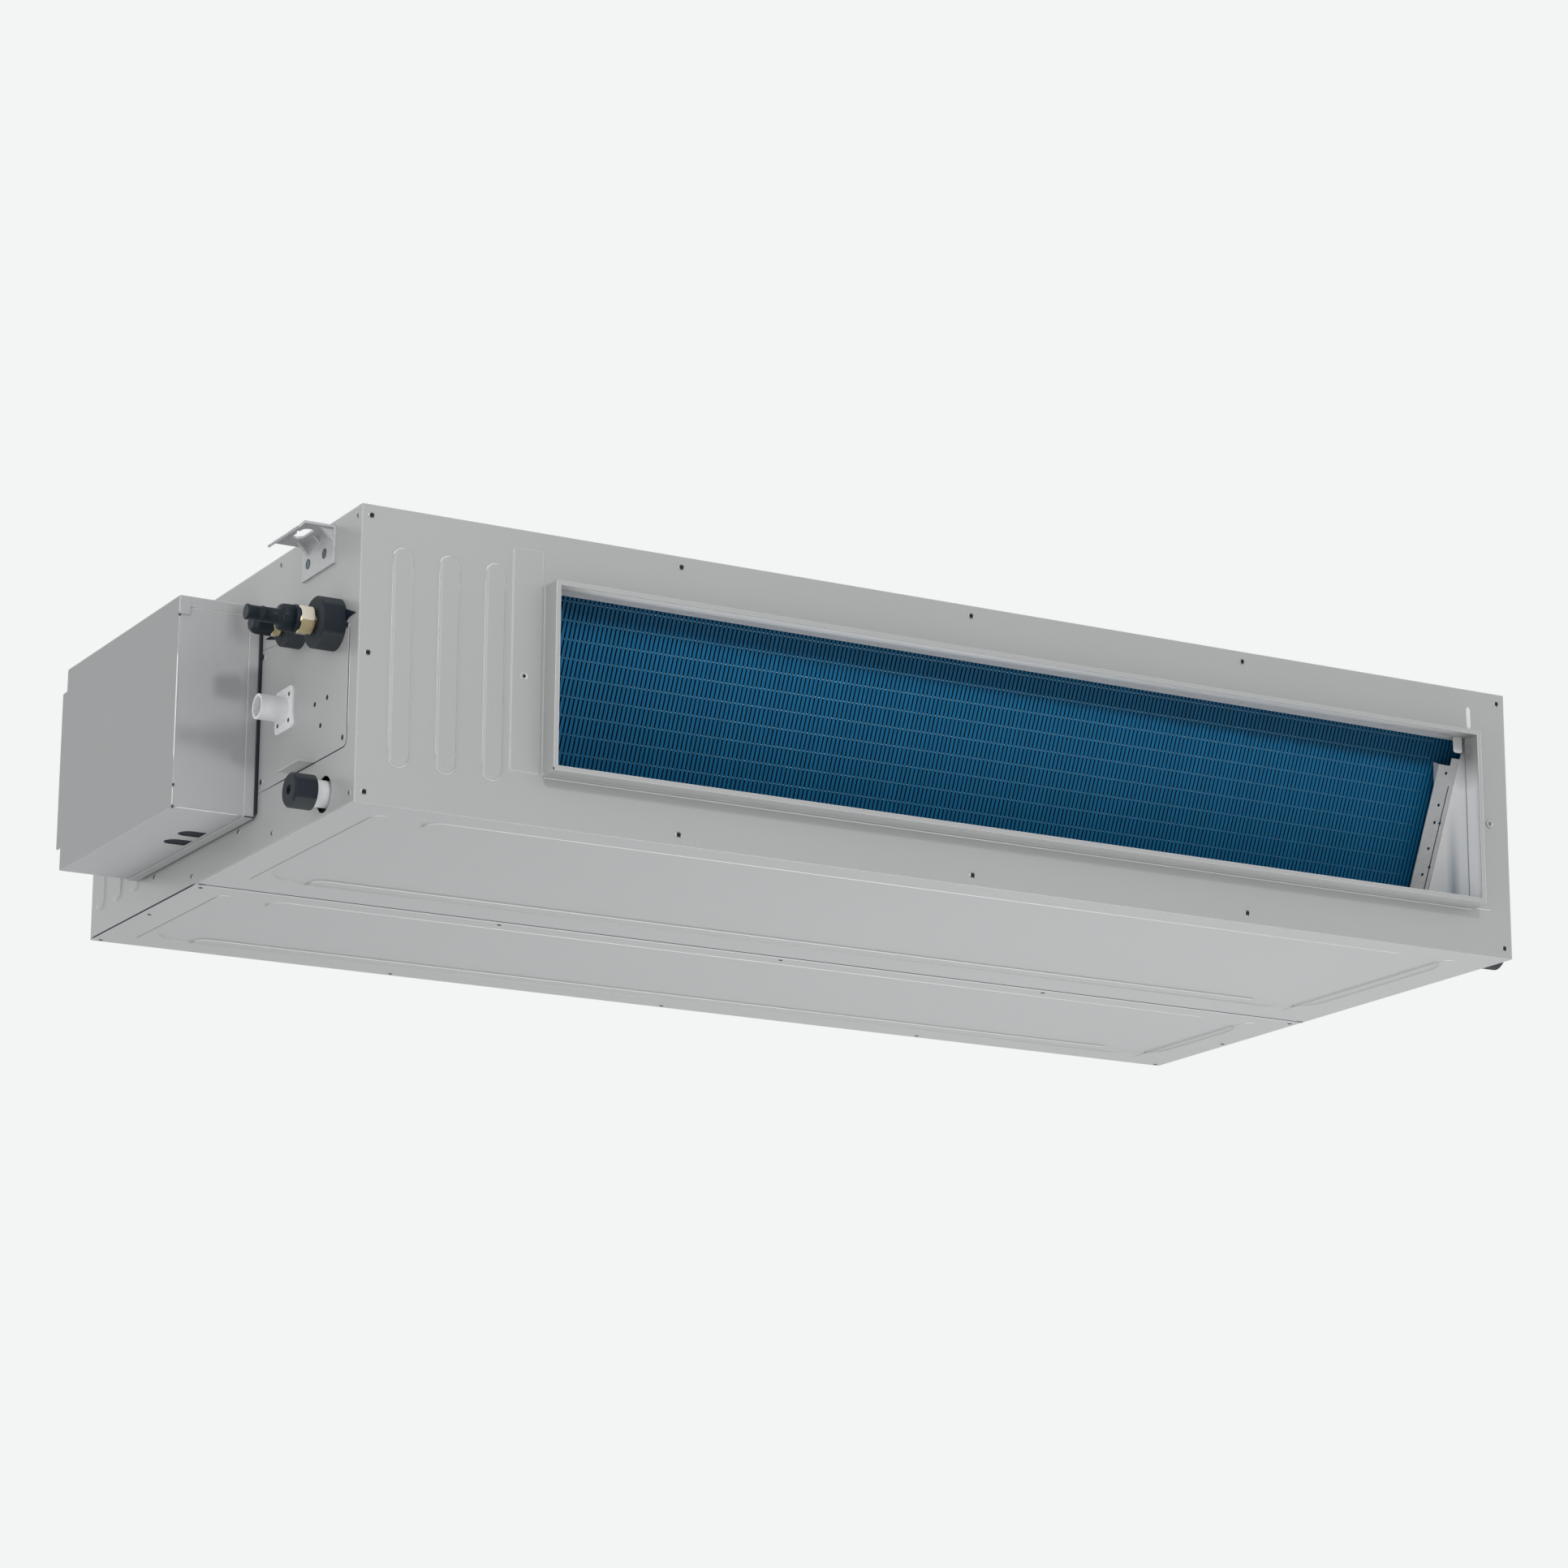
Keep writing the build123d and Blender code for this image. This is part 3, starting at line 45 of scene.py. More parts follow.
# Places are written in millimetres from the casing's front lower left corner:
# x to the right, y to the back, z up. spot() turns one into the frame's metres.
casing = {"width": 1385.0, "depth": 700.0}
toLeft = (-1, 0, 0)
toRight = (1, 0, 0)
toFront = (0, -1, 0)
toFloor = (0, 0, -1)


def spot(x, y, z):
    return Vector(((x - casing["width"] / 2) / 1000, (y - casing["depth"] / 2) / 1000, z / 1000))


# points on three flat faces of the casing
def onFront(points):
    return [spot(x, 0, z) for x, z in points]


def onLeft(points):
    return [spot(0, y, z) for y, z in points]


def onBottom(points):
    return [spot(x, y, 0) for x, y in points]


# Shader maths: a socket that works with + - * / < >, and the node tree that it belongs to
class Wire:
    def __init__(self, tree, socket):
        self.tree = tree
        self.socket = socket

    def maths(self, operation, *values):
        return self.tree.add("ShaderNodeMath", {"operation": operation}, dict(enumerate(values)))

    def __add__(self, other):
        return self.maths("ADD", self, other)

    def __radd__(self, other):
        return self.maths("ADD", other, self)

    def __sub__(self, other):
        return self.maths("SUBTRACT", self, other)

    def __rsub__(self, other):
        return self.maths("SUBTRACT", other, self)

    def __mul__(self, other):
        return self.maths("MULTIPLY", self, other)

    def __rmul__(self, other):
        return self.maths("MULTIPLY", other, self)

    def __truediv__(self, other):
        return self.maths("DIVIDE", self, other)

    def __lt__(self, other):
        return self.maths("LESS_THAN", self, other)

    def __gt__(self, other):
        return self.maths("GREATER_THAN", self, other)

    def __abs__(self):
        return self.maths("ABSOLUTE", self)

    def larger(self, other):
        return self.maths("MAXIMUM", self, other)

    def bearing(self, other):
        return self.maths("ARCTAN2", self, other)

    def fraction(self):
        return self.maths("FRACT", self)

    def whole(self):
        return self.maths("FLOOR", self)

    # 0 up to the low value, 1 from the high value on, and even in between
    def above(self, low, high):
        values = {"Value": self, "From Min": low, "From Max": high}
        return self.tree.add("ShaderNodeMapRange", {"clamp": True}, values)


class NodeTree:
    def __init__(self, holder):
        holder.use_nodes = True
        self.nodes = holder.node_tree.nodes
        self.links = holder.node_tree.links
        self.nodes.clear()

    # the one way to add a node: its type, its settings, then what goes into its sockets
    def add(self, kind, settings=None, values=None, output=0):
        node = self.nodes.new(kind)
        for key, value in (settings or {}).items():
            setattr(node, key, value)
        for key, value in (values or {}).items():
            if isinstance(value, Wire):
                self.links.new(value.socket, node.inputs[key])
            elif value is not None:
                node.inputs[key].default_value = value
        return Wire(self, node.outputs[output]) if node.outputs else node


class Finish(NodeTree):
    def __init__(self, name):
        self.material = bpy.data.materials.new(name)
        super().__init__(self.material)

    # where the surface lies and which way it faces, in the piece's own axes
    def place(self):
        return self.add("ShaderNodeTexCoord", output="Object")

    def facing(self):
        return self.add("ShaderNodeTexCoord", output="Normal")

    def split(self, vector):
        parts = self.add("ShaderNodeSeparateXYZ", None, {0: vector})
        return [Wire(self, output) for output in parts.socket.node.outputs]

    def stretched(self, scale):
        return self.add("ShaderNodeMapping", None, {"Vector": self.place(), "Scale": scale})

    def noise(self, scale, detail=2.0, rough=0.5, place=None):
        values = {"Vector": place or self.place(), "Scale": scale, "Detail": detail}
        return self.add("ShaderNodeTexNoise", None, {**values, "Roughness": rough})

    def cells(self, scale, feature="F1", output="Distance"):
        values = {"Vector": self.place(), "Scale": scale}
        return self.add("ShaderNodeTexVoronoi", {"feature": feature}, values, output)

    # a number of its own for each whole number
    def chance(self, number):
        return self.add("ShaderNodeTexWhiteNoise", {"noise_dimensions": "1D"}, {"W": number})

    def mix(self, factor, first, second, blend="MIX"):
        first = first if isinstance(first, Wire) else (*first, 1)
        second = second if isinstance(second, Wire) else (*second, 1)
        settings = {"data_type": "RGBA", "blend_type": blend}
        return self.add("ShaderNodeMix", settings, {0: factor, 6: first, 7: second}, 2)

    def tint(self, colour, shade):
        level = self.add("ShaderNodeCombineColor", None, {0: shade, 1: shade, 2: shade})
        return self.mix(1.0, colour, level, "MULTIPLY")

    # one number from two vectors, such as their distance
    def measure(self, operation, first, second):
        settings = {"operation": operation}
        return self.add("ShaderNodeVectorMath", settings, {0: first, 1: second}, "Value")

    # the softened normal of a folded edge, and how close the surface is to such an edge
    def softEdge(self, radius):
        bevel = self.add("ShaderNodeBevel", {"samples": 4}, {"Radius": radius})
        flat = self.add("ShaderNodeNewGeometry", output="Normal")
        turn = 1 - self.measure("DOT_PRODUCT", bevel, flat)
        return bevel, turn.above(0.07, 0.195)

    # where the metal leans away from the straight planes, as on the sides of a pressed rib
    def leaning(self):
        x, y, z = [abs(part) for part in self.split(self.facing())]
        return 1 - x.larger(y.larger(z)).above(0.90, 0.985)

    def bump(self, height, strength, depth, normal=None):
        values = {"Height": height, "Strength": strength, "Distance": depth, "Normal": normal}
        return self.add("ShaderNodeBump", None, values)

    def finish(self, colour, roughness, normal, metallic=0.0, **uniform):
        values = {"Base Color": colour, "Roughness": roughness, "Metallic": metallic,
                  "Normal": normal}
        for key, value in uniform.items():
            values[key.replace("_", " ")] = value
        shader = self.add("ShaderNodeBsdfPrincipled", None, values)
        self.add("ShaderNodeOutputMaterial", None, {"Surface": shader})
        return self.material


def grey(level):
    return (level, level, level)


# Painted sheet: fine grain, a slow change over the sheet, and painted highlights on its folded edges
# and on the slopes of its pressings
def sheetFinish(name, look):
    paint = Finish(name)
    bevel, edge = paint.softEdge(look["fold"])
    grain = paint.noise(look["grainScale"], 3.0, 0.6)
    cloud = paint.noise(2.6)
    shade = 1 + look["grain"] * (grain - 0.5) + look["cloud"] * (cloud - 0.5)
    # painted shade: faces turned to the left or right are drawn darker
    if "sideFaceShade" in look:
        sideShade = abs(paint.measure("DOT_PRODUCT", paint.facing(), toRight)).above(0.8, 1.0)
        shade = shade * (1 - sideShade * (1 - look["sideFaceShade"]))
    colour = paint.tint(look["colour"], shade)
    # painted highlight: the colour is lightened along folded edges
    edge = edge * paint.noise(160, 3.0, 0.6).above(0.0, 0.38) * look["edge"]
    # inside the underside's field the painted edge highlight is dimmed
    if "field" in look:
        field = look["field"]
        x, y, z = paint.split(paint.place())
        inside = (abs(x) < field["x"]) * (abs(y) < field["y"]) * (z < field["z"])
        edge = edge * (1 - inside * field["dim"])
    # the lining's painted shade in its corner and painted reflection of the coil
    if "shadeAndReflection" in look:
        colour = paintedShadeAndReflection(paint, colour, look["shadeAndReflection"])
    # painted highlight: the colour is also lightened where the sheet leans, as on the slopes of
    # pressed ribs
    press = paint.leaning() * look["press"]
    colour = paint.mix(edge.larger(press), colour, look["paintedHighlight"])
    rough = look["rough"] + 0.12 * (grain - 0.5) + 0.06 * (cloud - 0.5)
    waves = paint.noise(5.0, 1.0, 0.4) * look["waves"]
    normal = paint.bump(grain + waves, look["bump"], 0.0006, bevel)
    return paint.finish(colour, rough, normal, look["metal"],
                        Coat_Weight=0.12, Coat_Roughness=0.35)


# painted shade: a dark spot in the lining's upper corner; and a painted reflection:
# the coil's blue gleam low down behind it
def paintedShadeAndReflection(paint, colour, mark):
    away = paint.measure("DISTANCE", paint.place(), mark["centre"]).above(*mark["reach"])
    colour = paint.tint(colour, 1 - (1 - away) * mark["depth"])
    x, y, z = paint.split(paint.place())
    # painted reflection of the coil: a blue band low down
    across = 1 - abs(y - mark["reflectionPlace"]).above(*mark["reflectionWidth"])
    paintedReflection = across * (1 - z.above(*mark["reflectionHeight"]))
    return paint.mix(paintedReflection * mark["reflectionStrength"], colour, mark["paintedReflection"])


# Zinc-coated steel with its spangle of crystals, and a painted highlight along its edges
def spangleFinish(name, look):
    zinc = Finish(name)
    bevel, edge = zinc.softEdge(0.0008)
    crystals = zinc.cells(look["crystal"], output="Color")
    tone = zinc.add("ShaderNodeSeparateColor", None, {0: crystals})
    grain = zinc.noise(1400, 2.0, 0.6)
    brushed = zinc.noise(300, 2.0, 0.6, zinc.stretched((1.0, 0.15, 1.0)))
    shade = 1 + look["spangle"] * (tone - 0.5) + 0.10 * (grain - 0.5) + 0.08 * (brushed - 0.5)
    # painted highlight: the colour is lightened along edges
    colour = zinc.tint(zinc.mix(edge * 0.6, look["colour"], look["paintedHighlight"]), shade)
    rough = look["rough"] + 0.10 * (tone - 0.5) + 0.1 * (grain - 0.5)
    normal = zinc.bump(grain + brushed * 0.5, 0.15, 0.0004, bevel)
    return zinc.finish(colour, rough, normal, look["metal"])


# Moulded plastic: very fine texture, slow flow marks, and slightly paler edges that are a painted
# highlight
def plasticFinish(name, look):
    mould = Finish(name)
    bevel, edge = mould.softEdge(0.0006)
    grain = mould.noise(1800, 2.0, 0.6)
    flow = mould.noise(30)
    shade = 1 + look.get("grain", 0.06) * (grain - 0.5) + 0.08 * (flow - 0.5)
    # painted highlight: paler along edges
    colour = mould.tint(mould.mix(edge * 0.35, look["colour"], look["paintedHighlight"]), shade)
    rough = look["rough"] + 0.15 * (grain - 0.5)
    normal = mould.bump(grain, look.get("bump", 0.2), 0.0003, bevel)
    return mould.finish(colour, rough, normal, **look.get("uniform", {}))


# Expanded foam: pressed beads with dark joints between them, and, when a shaded colour is given,
# painted
# light and shade: paler where it faces up or down, partly paler where it faces left or right, darker
# elsewhere
def foamFinish(name, look):
    foam = Finish(name)
    beads = foam.cells(look["bead"])
    joints = foam.cells(look["bead"], "DISTANCE_TO_EDGE")
    grain = foam.noise(2200, 2.0, 0.6)
    seam = 1 - joints.above(0.0, 0.12)
    shade = 1 + look["grain"] * (grain - 0.5) - seam * look["seam"] - beads * 0.06
    x, y, z = foam.split(foam.facing())
    # painted light: the lit colour on faces turned up, down or sideways, the painted shade colour
    # elsewhere
    paintedLight = (abs(x).above(0.8, 0.95) * 0.45).larger(abs(z).above(0.50, 0.60))
    colour = foam.tint(foam.mix(paintedLight, look.get("paintedShadeColour", look["colour"]), look["colour"]), shade)
    rough = look["rough"] + 0.1 * (grain - 0.5)
    normal = foam.bump(grain * 0.4 - beads * look["round"], look["bump"], 0.0012)
    return foam.finish(colour, rough, normal)


# Turned metal: fine rings, stains, and painted highlights: some of a nut's six flats drawn pale,
# chosen at random flat by flat, and lighter edges
def turnedFinish(name, look):
    turned = Finish(name)
    bevel, edge = turned.softEdge(0.0005)
    values = {"Vector": turned.place(), "Scale": 420.0}
    rings = turned.add("ShaderNodeTexWave", {"bands_direction": "X"}, values)
    stain = turned.noise(70, 4.0, 0.6)
    colour = look["colour"]
    tone = turned.mix(stain.above(0.42, 0.75) * 0.5, colour, look["stained"])
    x, y, z = turned.split(turned.facing())
    flat = (y.bearing(z) / math.radians(60) + 0.5).whole()
    # painted highlight: some flats drawn pale, chosen at random flat by flat
    pale = [min(1, part * 0.35 + 0.55) for part in colour]
    tone = turned.mix(turned.chance(flat + 3).above(0.3, 0.6) * 0.8, tone, pale)
    # painted highlight: lighter along edges
    tone = turned.mix(edge * 0.5, tone, [min(1, part * 1.35) for part in colour])
    normal = turned.bump(rings + turned.noise(900) * 0.5, 0.10, 0.0002, bevel)
    return turned.finish(tone, look["rough"] + 0.2 * (stain - 0.5), normal, 1.0)


# Coil: it leans back from its foot; "up" runs along a fin and "depth" through the pack
coil = {
    "footY": 114.0, "footZ": 42.85, "lean": math.radians(25.0), "length": 247.65, "thickness": 42.0,
    "left": 190.0, "right": 1345.0, "pitch": 4.96, "finWidth": 3.38, "edge": 0.14, "darkDepth": 0.8,
    "slotDepth": 13.0, "backSlots": 9.0, "coreLap": 0.5, "coreEnd": 0.2,
    "rowPitch": 19.05, "rows": 13, "barTop": 0.85, "barFoot": 0.50, "barDepth": 0.12, "bareFins": 8,
    "shadeUp": (20, 215), "shadeFoot": 0.86, "shadeRise": 0.18,
    # where the painted shadow of the collar falls on the coil, and how dark it is
    "shadowUp": (193, 204), "shadowSlope": 12, "shadowDepth": 0.40,
}
leanSin = math.sin(coil["lean"])
leanCos = math.cos(coil["lean"])


# Blue coated fins: each a little different, darker near the foot, and with a painted shadow of
# the collar across the top rows
def finFinish(name, colour, lighter):
    fins = Finish(name)
    x, y, z = fins.split(fins.place())
    number = ((x * 1000 + 1000) / coil["pitch"]).whole()
    grain = fins.noise(900, 2.0, 0.6)
    streak = fins.noise(60, place=fins.stretched((6.0, 1.0, 0.25)))
    shade = 1 + 0.10 * (fins.chance(number) - 0.5) + 0.12 * (grain - 0.5) + 0.18 * (streak - 0.5)
    back = y * 1000 + (casing["depth"] / 2 - coil["footY"])
    up = (z * 1000 - coil["footZ"]) * leanCos - back * leanSin
    # painted shadow of the collar across the top rows, reaching further down towards the right
    paintedShadow = (up + x * coil["shadowSlope"]).above(*coil["shadowUp"])
    shade = shade * (coil["shadeFoot"] + up.above(*coil["shadeUp"]) * coil["shadeRise"])
    shade = shade * (1 - paintedShadow * coil["shadowDepth"])
    colour = fins.tint(fins.mix(streak * 0.15, colour, lighter), shade)
    normal = fins.bump(grain + streak, 0.1, 0.0003)
    rough = 0.55 + 0.15 * (grain - 0.5)
    return fins.finish(colour, rough, normal, 0.1, Specular_IOR_Level=0.22)


# Filter: the film between the bars is woven, so it is cut through between its threads
weave = {
    "film": (0.022, 0.026, 0.031), "bars": (0.055, 0.062, 0.070), "place": 360.7, "half": 0.75,
    "pitch": 1.6, "thread": 0.32,
}


def filterFinish(name):
    net = Finish(name)
    x, y, z = net.split(net.place())
    film = abs(y * 1000 - weave["place"]) < weave["half"]
    threads = [abs((part * 1000 / weave["pitch"] + 1000).fraction() - 0.5) > weave["thread"]
               for part in (x, z)]
    thread = threads[0].larger(threads[1])
    grain = net.noise(1500, 2.0, 0.6)
    colour = net.tint(net.mix(film, weave["bars"], weave["film"]), 1 + 0.2 * (grain - 0.5))
    normal = net.bump(thread + grain * 0.3, 0.4, 0.0004)
    rough = 0.55 + 0.1 * (grain - 0.5)
    return net.finish(colour, rough, normal, Alpha=1 - film * (1 - thread))


def boardFinish(name, look):
    board = Finish(name)
    tracks = board.add("ShaderNodeTexBrick", None, {"Vector": board.stretched((1, 1, 1)), **look})
    grain = board.noise(1200)
    colour = board.tint(tracks, 1 + 0.15 * (grain - 0.5))
    return board.finish(colour, 0.3 + grain * 0.1, board.bump(grain, 0.1, 0.0002))


# what several finishes have in common
panel = {
    "paintedHighlight": grey(0.92), "grainScale": 850.0, "grain": 0.07, "edge": 0.85, "press": 0.0,
    "waves": 0.4, "bump": 0.10, "fold": 0.0016,
}
pressed = {
    "grainScale": 850.0, "grain": 0.07, "cloud": 0.04, "waves": 0.2, "bump": 0.08, "fold": 0.0006,
}
fine = {"crystal": 400.0, "spangle": 0.10}
finishes = {
    "casing_sheet": sheetFinish("casingSheet", {
        **panel, "colour": (0.440, 0.441, 0.441), "cloud": 0.06, "rough": 0.36, "metal": 0.12,
        "field": {"x": 0.672, "y": 0.332, "z": 0.004, "dim": 0.78}}),
    # its faces turned to the left or right carry painted shade
    "box_sheet": sheetFinish("boxSheet", {
        **panel, "colour": (0.425, 0.429, 0.433), "cloud": 0.12, "rough": 0.42, "metal": 0.15,
        "sideFaceShade": 0.78}),
    "bracket_steel": spangleFinish("bracketSteel", {
        "colour": (0.52, 0.525, 0.53), "paintedHighlight": grey(0.92), "crystal": 130.0, "spangle": 0.10,
        "rough": 0.38, "metal": 0.2}),
    "inner_steel": spangleFinish("innerSteel", {
        "colour": (0.54, 0.545, 0.55), "paintedHighlight": grey(0.88), "crystal": 90.0, "spangle": 0.07,
        "rough": 0.36, "metal": 0.30}),
    "tubeHighlight": spangleFinish("tubeHighlight", {
        "colour": (0.30, 0.39, 0.43), "paintedHighlight": grey(0.6), "crystal": 200.0, "spangle": 0.10,
        "rough": 0.36, "metal": 0.4}),
    "liner_sheet": sheetFinish("linerSheet", {
        "colour": (0.95, 0.935, 0.915), "paintedHighlight": grey(0.95), "grainScale": 700.0, "grain": 0.05,
        "cloud": 0.05, "edge": 0.6, "press": 0.2, "rough": 0.34, "waves": 0.3, "bump": 0.06,
        # with painted shade in its upper corner and a painted reflection of the coil
        "metal": 0.0, "fold": 0.0014, "shadeAndReflection": {
            "centre": (0.6385, -0.354, 0.228), "reach": (0.006, 0.046), "depth": 0.72,
            "paintedReflection": (0.10, 0.17, 0.22), "reflectionPlace": -0.3195, "reflectionWidth": (0.001, 0.013),
            "reflectionHeight": (0.065, 0.175), "reflectionStrength": 0.62}}),
    "screw_steel": spangleFinish("screwSteel", {
        **fine, "colour": (0.50, 0.50, 0.51), "paintedHighlight": grey(0.9), "rough": 0.30, "metal": 0.8}),
    # dark navy: painted shade for screw heads and rivet rims
    "paintedShadeHead": spangleFinish("paintedShadeHead", {
        **fine, "colour": (0.012, 0.020, 0.028), "paintedHighlight": grey(0.06), "rough": 0.45, "metal": 0.2}),
    "screwPale": spangleFinish("screwPale", {
        **fine, "colour": (0.20, 0.21, 0.22), "paintedHighlight": grey(0.5), "rough": 0.40, "metal": 0.3}),
    "rivetFace": spangleFinish("rivetFace", {
        **fine, "colour": (0.085, 0.125, 0.15), "paintedHighlight": grey(0.3), "spangle": 0.12, "rough": 0.35,
        "metal": 0.5}),
    # painted highlight lines
    "pressLine": sheetFinish("pressLine", {
        **pressed, "colour": (0.74, 0.742, 0.744), "paintedHighlight": grey(0.9), "edge": 0.2, "press": 0.3,
        "rough": 0.34, "metal": 0.3}),
    # painted shade lines
    "pressShade": sheetFinish("pressShade", {
        **pressed, "colour": grey(0.28), "paintedHighlight": grey(0.5), "edge": 0.0, "press": 0.0, "rough": 0.4,
        "metal": 0.1}),
    "blue_fins": finFinish("blueFins", (0.0065, 0.140, 0.300), (0.009, 0.165, 0.34)),
    # the dark navy of painted shade, also used for dark joints
    "shadeAndJointNavy": finFinish("shadeAndJointNavy", (0.002, 0.010, 0.022), (0.003, 0.014, 0.03)),
    "copper_tube": turnedFinish("copperTube", {
        "colour": (0.72, 0.36, 0.22), "stained": (0.30, 0.13, 0.08), "rough": 0.32}),
    "brass_fitting": turnedFinish("brassFitting", {
        "colour": (0.68, 0.57, 0.32), "stained": (0.30, 0.27, 0.19), "rough": 0.20}),
    "white_foam": foamFinish("whiteFoam", {
        "colour": (0.74, 0.745, 0.75), "bead": 260.0, "grain": 0.06, "seam": 0.08, "round": 0.7,
        "rough": 0.6, "bump": 0.15}),
    "black_cap": plasticFinish("blackCap", {
        "colour": (0.007, 0.014, 0.021), "paintedHighlight": (0.05, 0.06, 0.07), "rough": 0.42, "grain": 0.3,
        "uniform": {"Specular_IOR_Level": 0.22}}),
    # its first colour is the painted lit tone, its second the painted shade
    "black_foam": foamFinish("blackFoam", {
        "colour": (0.036, 0.045, 0.050), "paintedShadeColour": (0.005, 0.013, 0.022), "bead": 900.0,
        "grain": 0.5, "seam": 0.3, "round": 0.8, "rough": 0.8, "bump": 0.4}),
    "white_plastic": plasticFinish("whitePlastic", {
        "colour": (0.80, 0.805, 0.81), "paintedHighlight": grey(0.95), "rough": 0.36}),
    "pump_plastic": plasticFinish("pumpPlastic", {
        "colour": (0.60, 0.61, 0.60), "paintedHighlight": grey(0.85), "rough": 0.4}),
    "hose_rubber": plasticFinish("hoseRubber", {
        "colour": (0.13, 0.135, 0.14), "paintedHighlight": grey(0.2), "rough": 0.5, "bump": 0.4}),
    "motor_paint": plasticFinish("motorPaint", {
        "colour": (0.028, 0.030, 0.034), "paintedHighlight": grey(0.12), "rough": 0.4, "grain": 0.2}),
    "fan_plastic": plasticFinish("fanPlastic", {
        "colour": (0.042, 0.045, 0.050), "paintedHighlight": grey(0.14), "rough": 0.45, "grain": 0.2}),
    "filter_plastic": filterFinish("filterPlastic"),
    "board_green": boardFinish("boardGreen", {
        "Scale": 90.0, "Mortar Size": 0.03, "Color1": (0.010, 0.085, 0.030, 1),
        "Color2": (0.012, 0.11, 0.04, 1), "Mortar": (0.02, 0.16, 0.06, 1)}),
    "terminal_plastic": plasticFinish("terminalPlastic", {
        "colour": (0.62, 0.58, 0.46), "paintedHighlight": grey(0.8), "rough": 0.45}),
}
for part in frame["record"]["subparts"]:
    piece = nodes[part["node"]]
    piece.data.materials.clear()
    piece.data.materials.append(finishes[part["material_slot"]])
print("finishes made:", len(finishes))


# A maker gathers faces, each with its finish, and ends as one piece
class Maker:
    def __init__(self):
        self.mesh = bmesh.new()
        self.looks = []

    def face(self, corners, material, smooth=False):
        if material not in self.looks:
            self.looks.append(material)
        made = self.mesh.faces.new(corners)
        made.material_index = self.looks.index(material)
        made.smooth = smooth

    # a closed outline of points, carried from one place to another
    def loft(self, loops, material, ends=True, smooth=False):
        rings = [[self.mesh.verts.new(point) for point in loop] for loop in loops]
        for first, second in zip(rings, rings[1:]):
            count = len(first)
            for i in range(count):
                j = (i + 1) % count
                self.face((first[i], first[j], second[j], second[i]), material, smooth)
        if ends:
            self.face(list(reversed(rings[0])), material)
            self.face(rings[-1], material)
        return rings

    # rings round an axis: each profile row is (distance along the axis, radius or radius by angle)
    def turn(self, centre, axis, profile, material, count=24, smooth=True, ends=True):
        axis = Vector(axis).normalized()
        side = axis.orthogonal().normalized()
        other = axis.cross(side)
        loops = []
        for along, radius in profile:
            loop = []
            for i in range(count):
                angle = 2 * math.pi * i / count
                reach = (radius(angle) if callable(radius) else radius) / 1000
                way = side * math.cos(angle) + other * math.sin(angle)
                loop.append(centre + axis * (along / 1000) + way * reach)
            loops.append(loop)
        return self.loft(loops, material, ends, smooth)

    # a flat plate between two places on an axis, from its outline on the other two axes
    def plate(self, axis, outline, start, stop, material):
        order = {"x": (2, 0, 1), "y": (0, 2, 1), "z": (0, 1, 2)}[axis]
        loops = []
        for level in (start, stop):
            corners = [(first, second, level) for first, second in outline]
            loops.append([spot(*[corner[i] for i in order]) for corner in corners])
        self.loft(loops, material)

    def object(self, name):
        data = bpy.data.meshes.new(name)
        self.mesh.to_mesh(data)
        self.mesh.free()
        for material in self.looks:
            data.materials.append(material)
        made = bpy.data.objects.new(name, data)
        bpy.context.scene.collection.objects.link(made)
        return made

    def piece(self, name, slot, body="casing"):
        bmesh.ops.recalc_face_normals(self.mesh, faces=self.mesh.faces)
        made = self.object(name)
        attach(made, body)
        return made


def coilSpot(x, up, depth):
    y = coil["footY"] - up * leanSin + depth * leanCos
    z = coil["footZ"] + up * leanCos + depth * leanSin
    return spot(x, y, z)


# an outline in (x, depth), carried up the coil
def addAlongCoil(maker, outline, material, low=0.0, high=coil["length"]):
    maker.loft([[coilSpot(x, up, depth) for x, depth in outline] for up in (low, high)], material)


# Fins: blue at their faces and painted dark from just below them, in front and behind, with a
# dark core: painted shade for the deep slots and the pack
def makeFins():
    maker = Maker()
    blue = finishes["blue_fins"]
    deep = finishes["shadeAndJointNavy"]
    left = coil["left"]
    right = coil["right"]
    count = int((right - left) / coil["pitch"])
    start = left + (right - left - count * coil["pitch"]) / 2
    half = coil["finWidth"] / 2
    edge = coil["edge"]
    back = coil["thickness"] - coil["backSlots"]
    for index in range(count + 1):
        x = start + index * coil["pitch"]
        low = max(x - half, left)
        high = min(x + half, right)
        for face, root in ((0.0, coil["slotDepth"]), (coil["thickness"], back)):
            inward = 1 if root > face else -1
            rim = face + inward * edge
            shade = face + inward * coil["darkDepth"]
            addAlongCoil(maker, [(low, shade), (low, rim), (low + edge, face), (high - edge, face),
                                 (high, rim), (high, shade)], blue)
            # painted shade: the fin below its face is drawn dark
            addAlongCoil(maker, [(low, root), (low, shade), (high, shade), (high, root)], deep)
    near = coil["slotDepth"] - coil["coreLap"]
    far = back + coil["coreLap"]
    core = [(left, near), (right, near), (right, far), (left, far)]
    addAlongCoil(maker, core, deep, coil["coreEnd"], coil["length"] - coil["coreEnd"])
    fins = maker.piece("coilFinPack", "blue_fins")
    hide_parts("coil_fins")


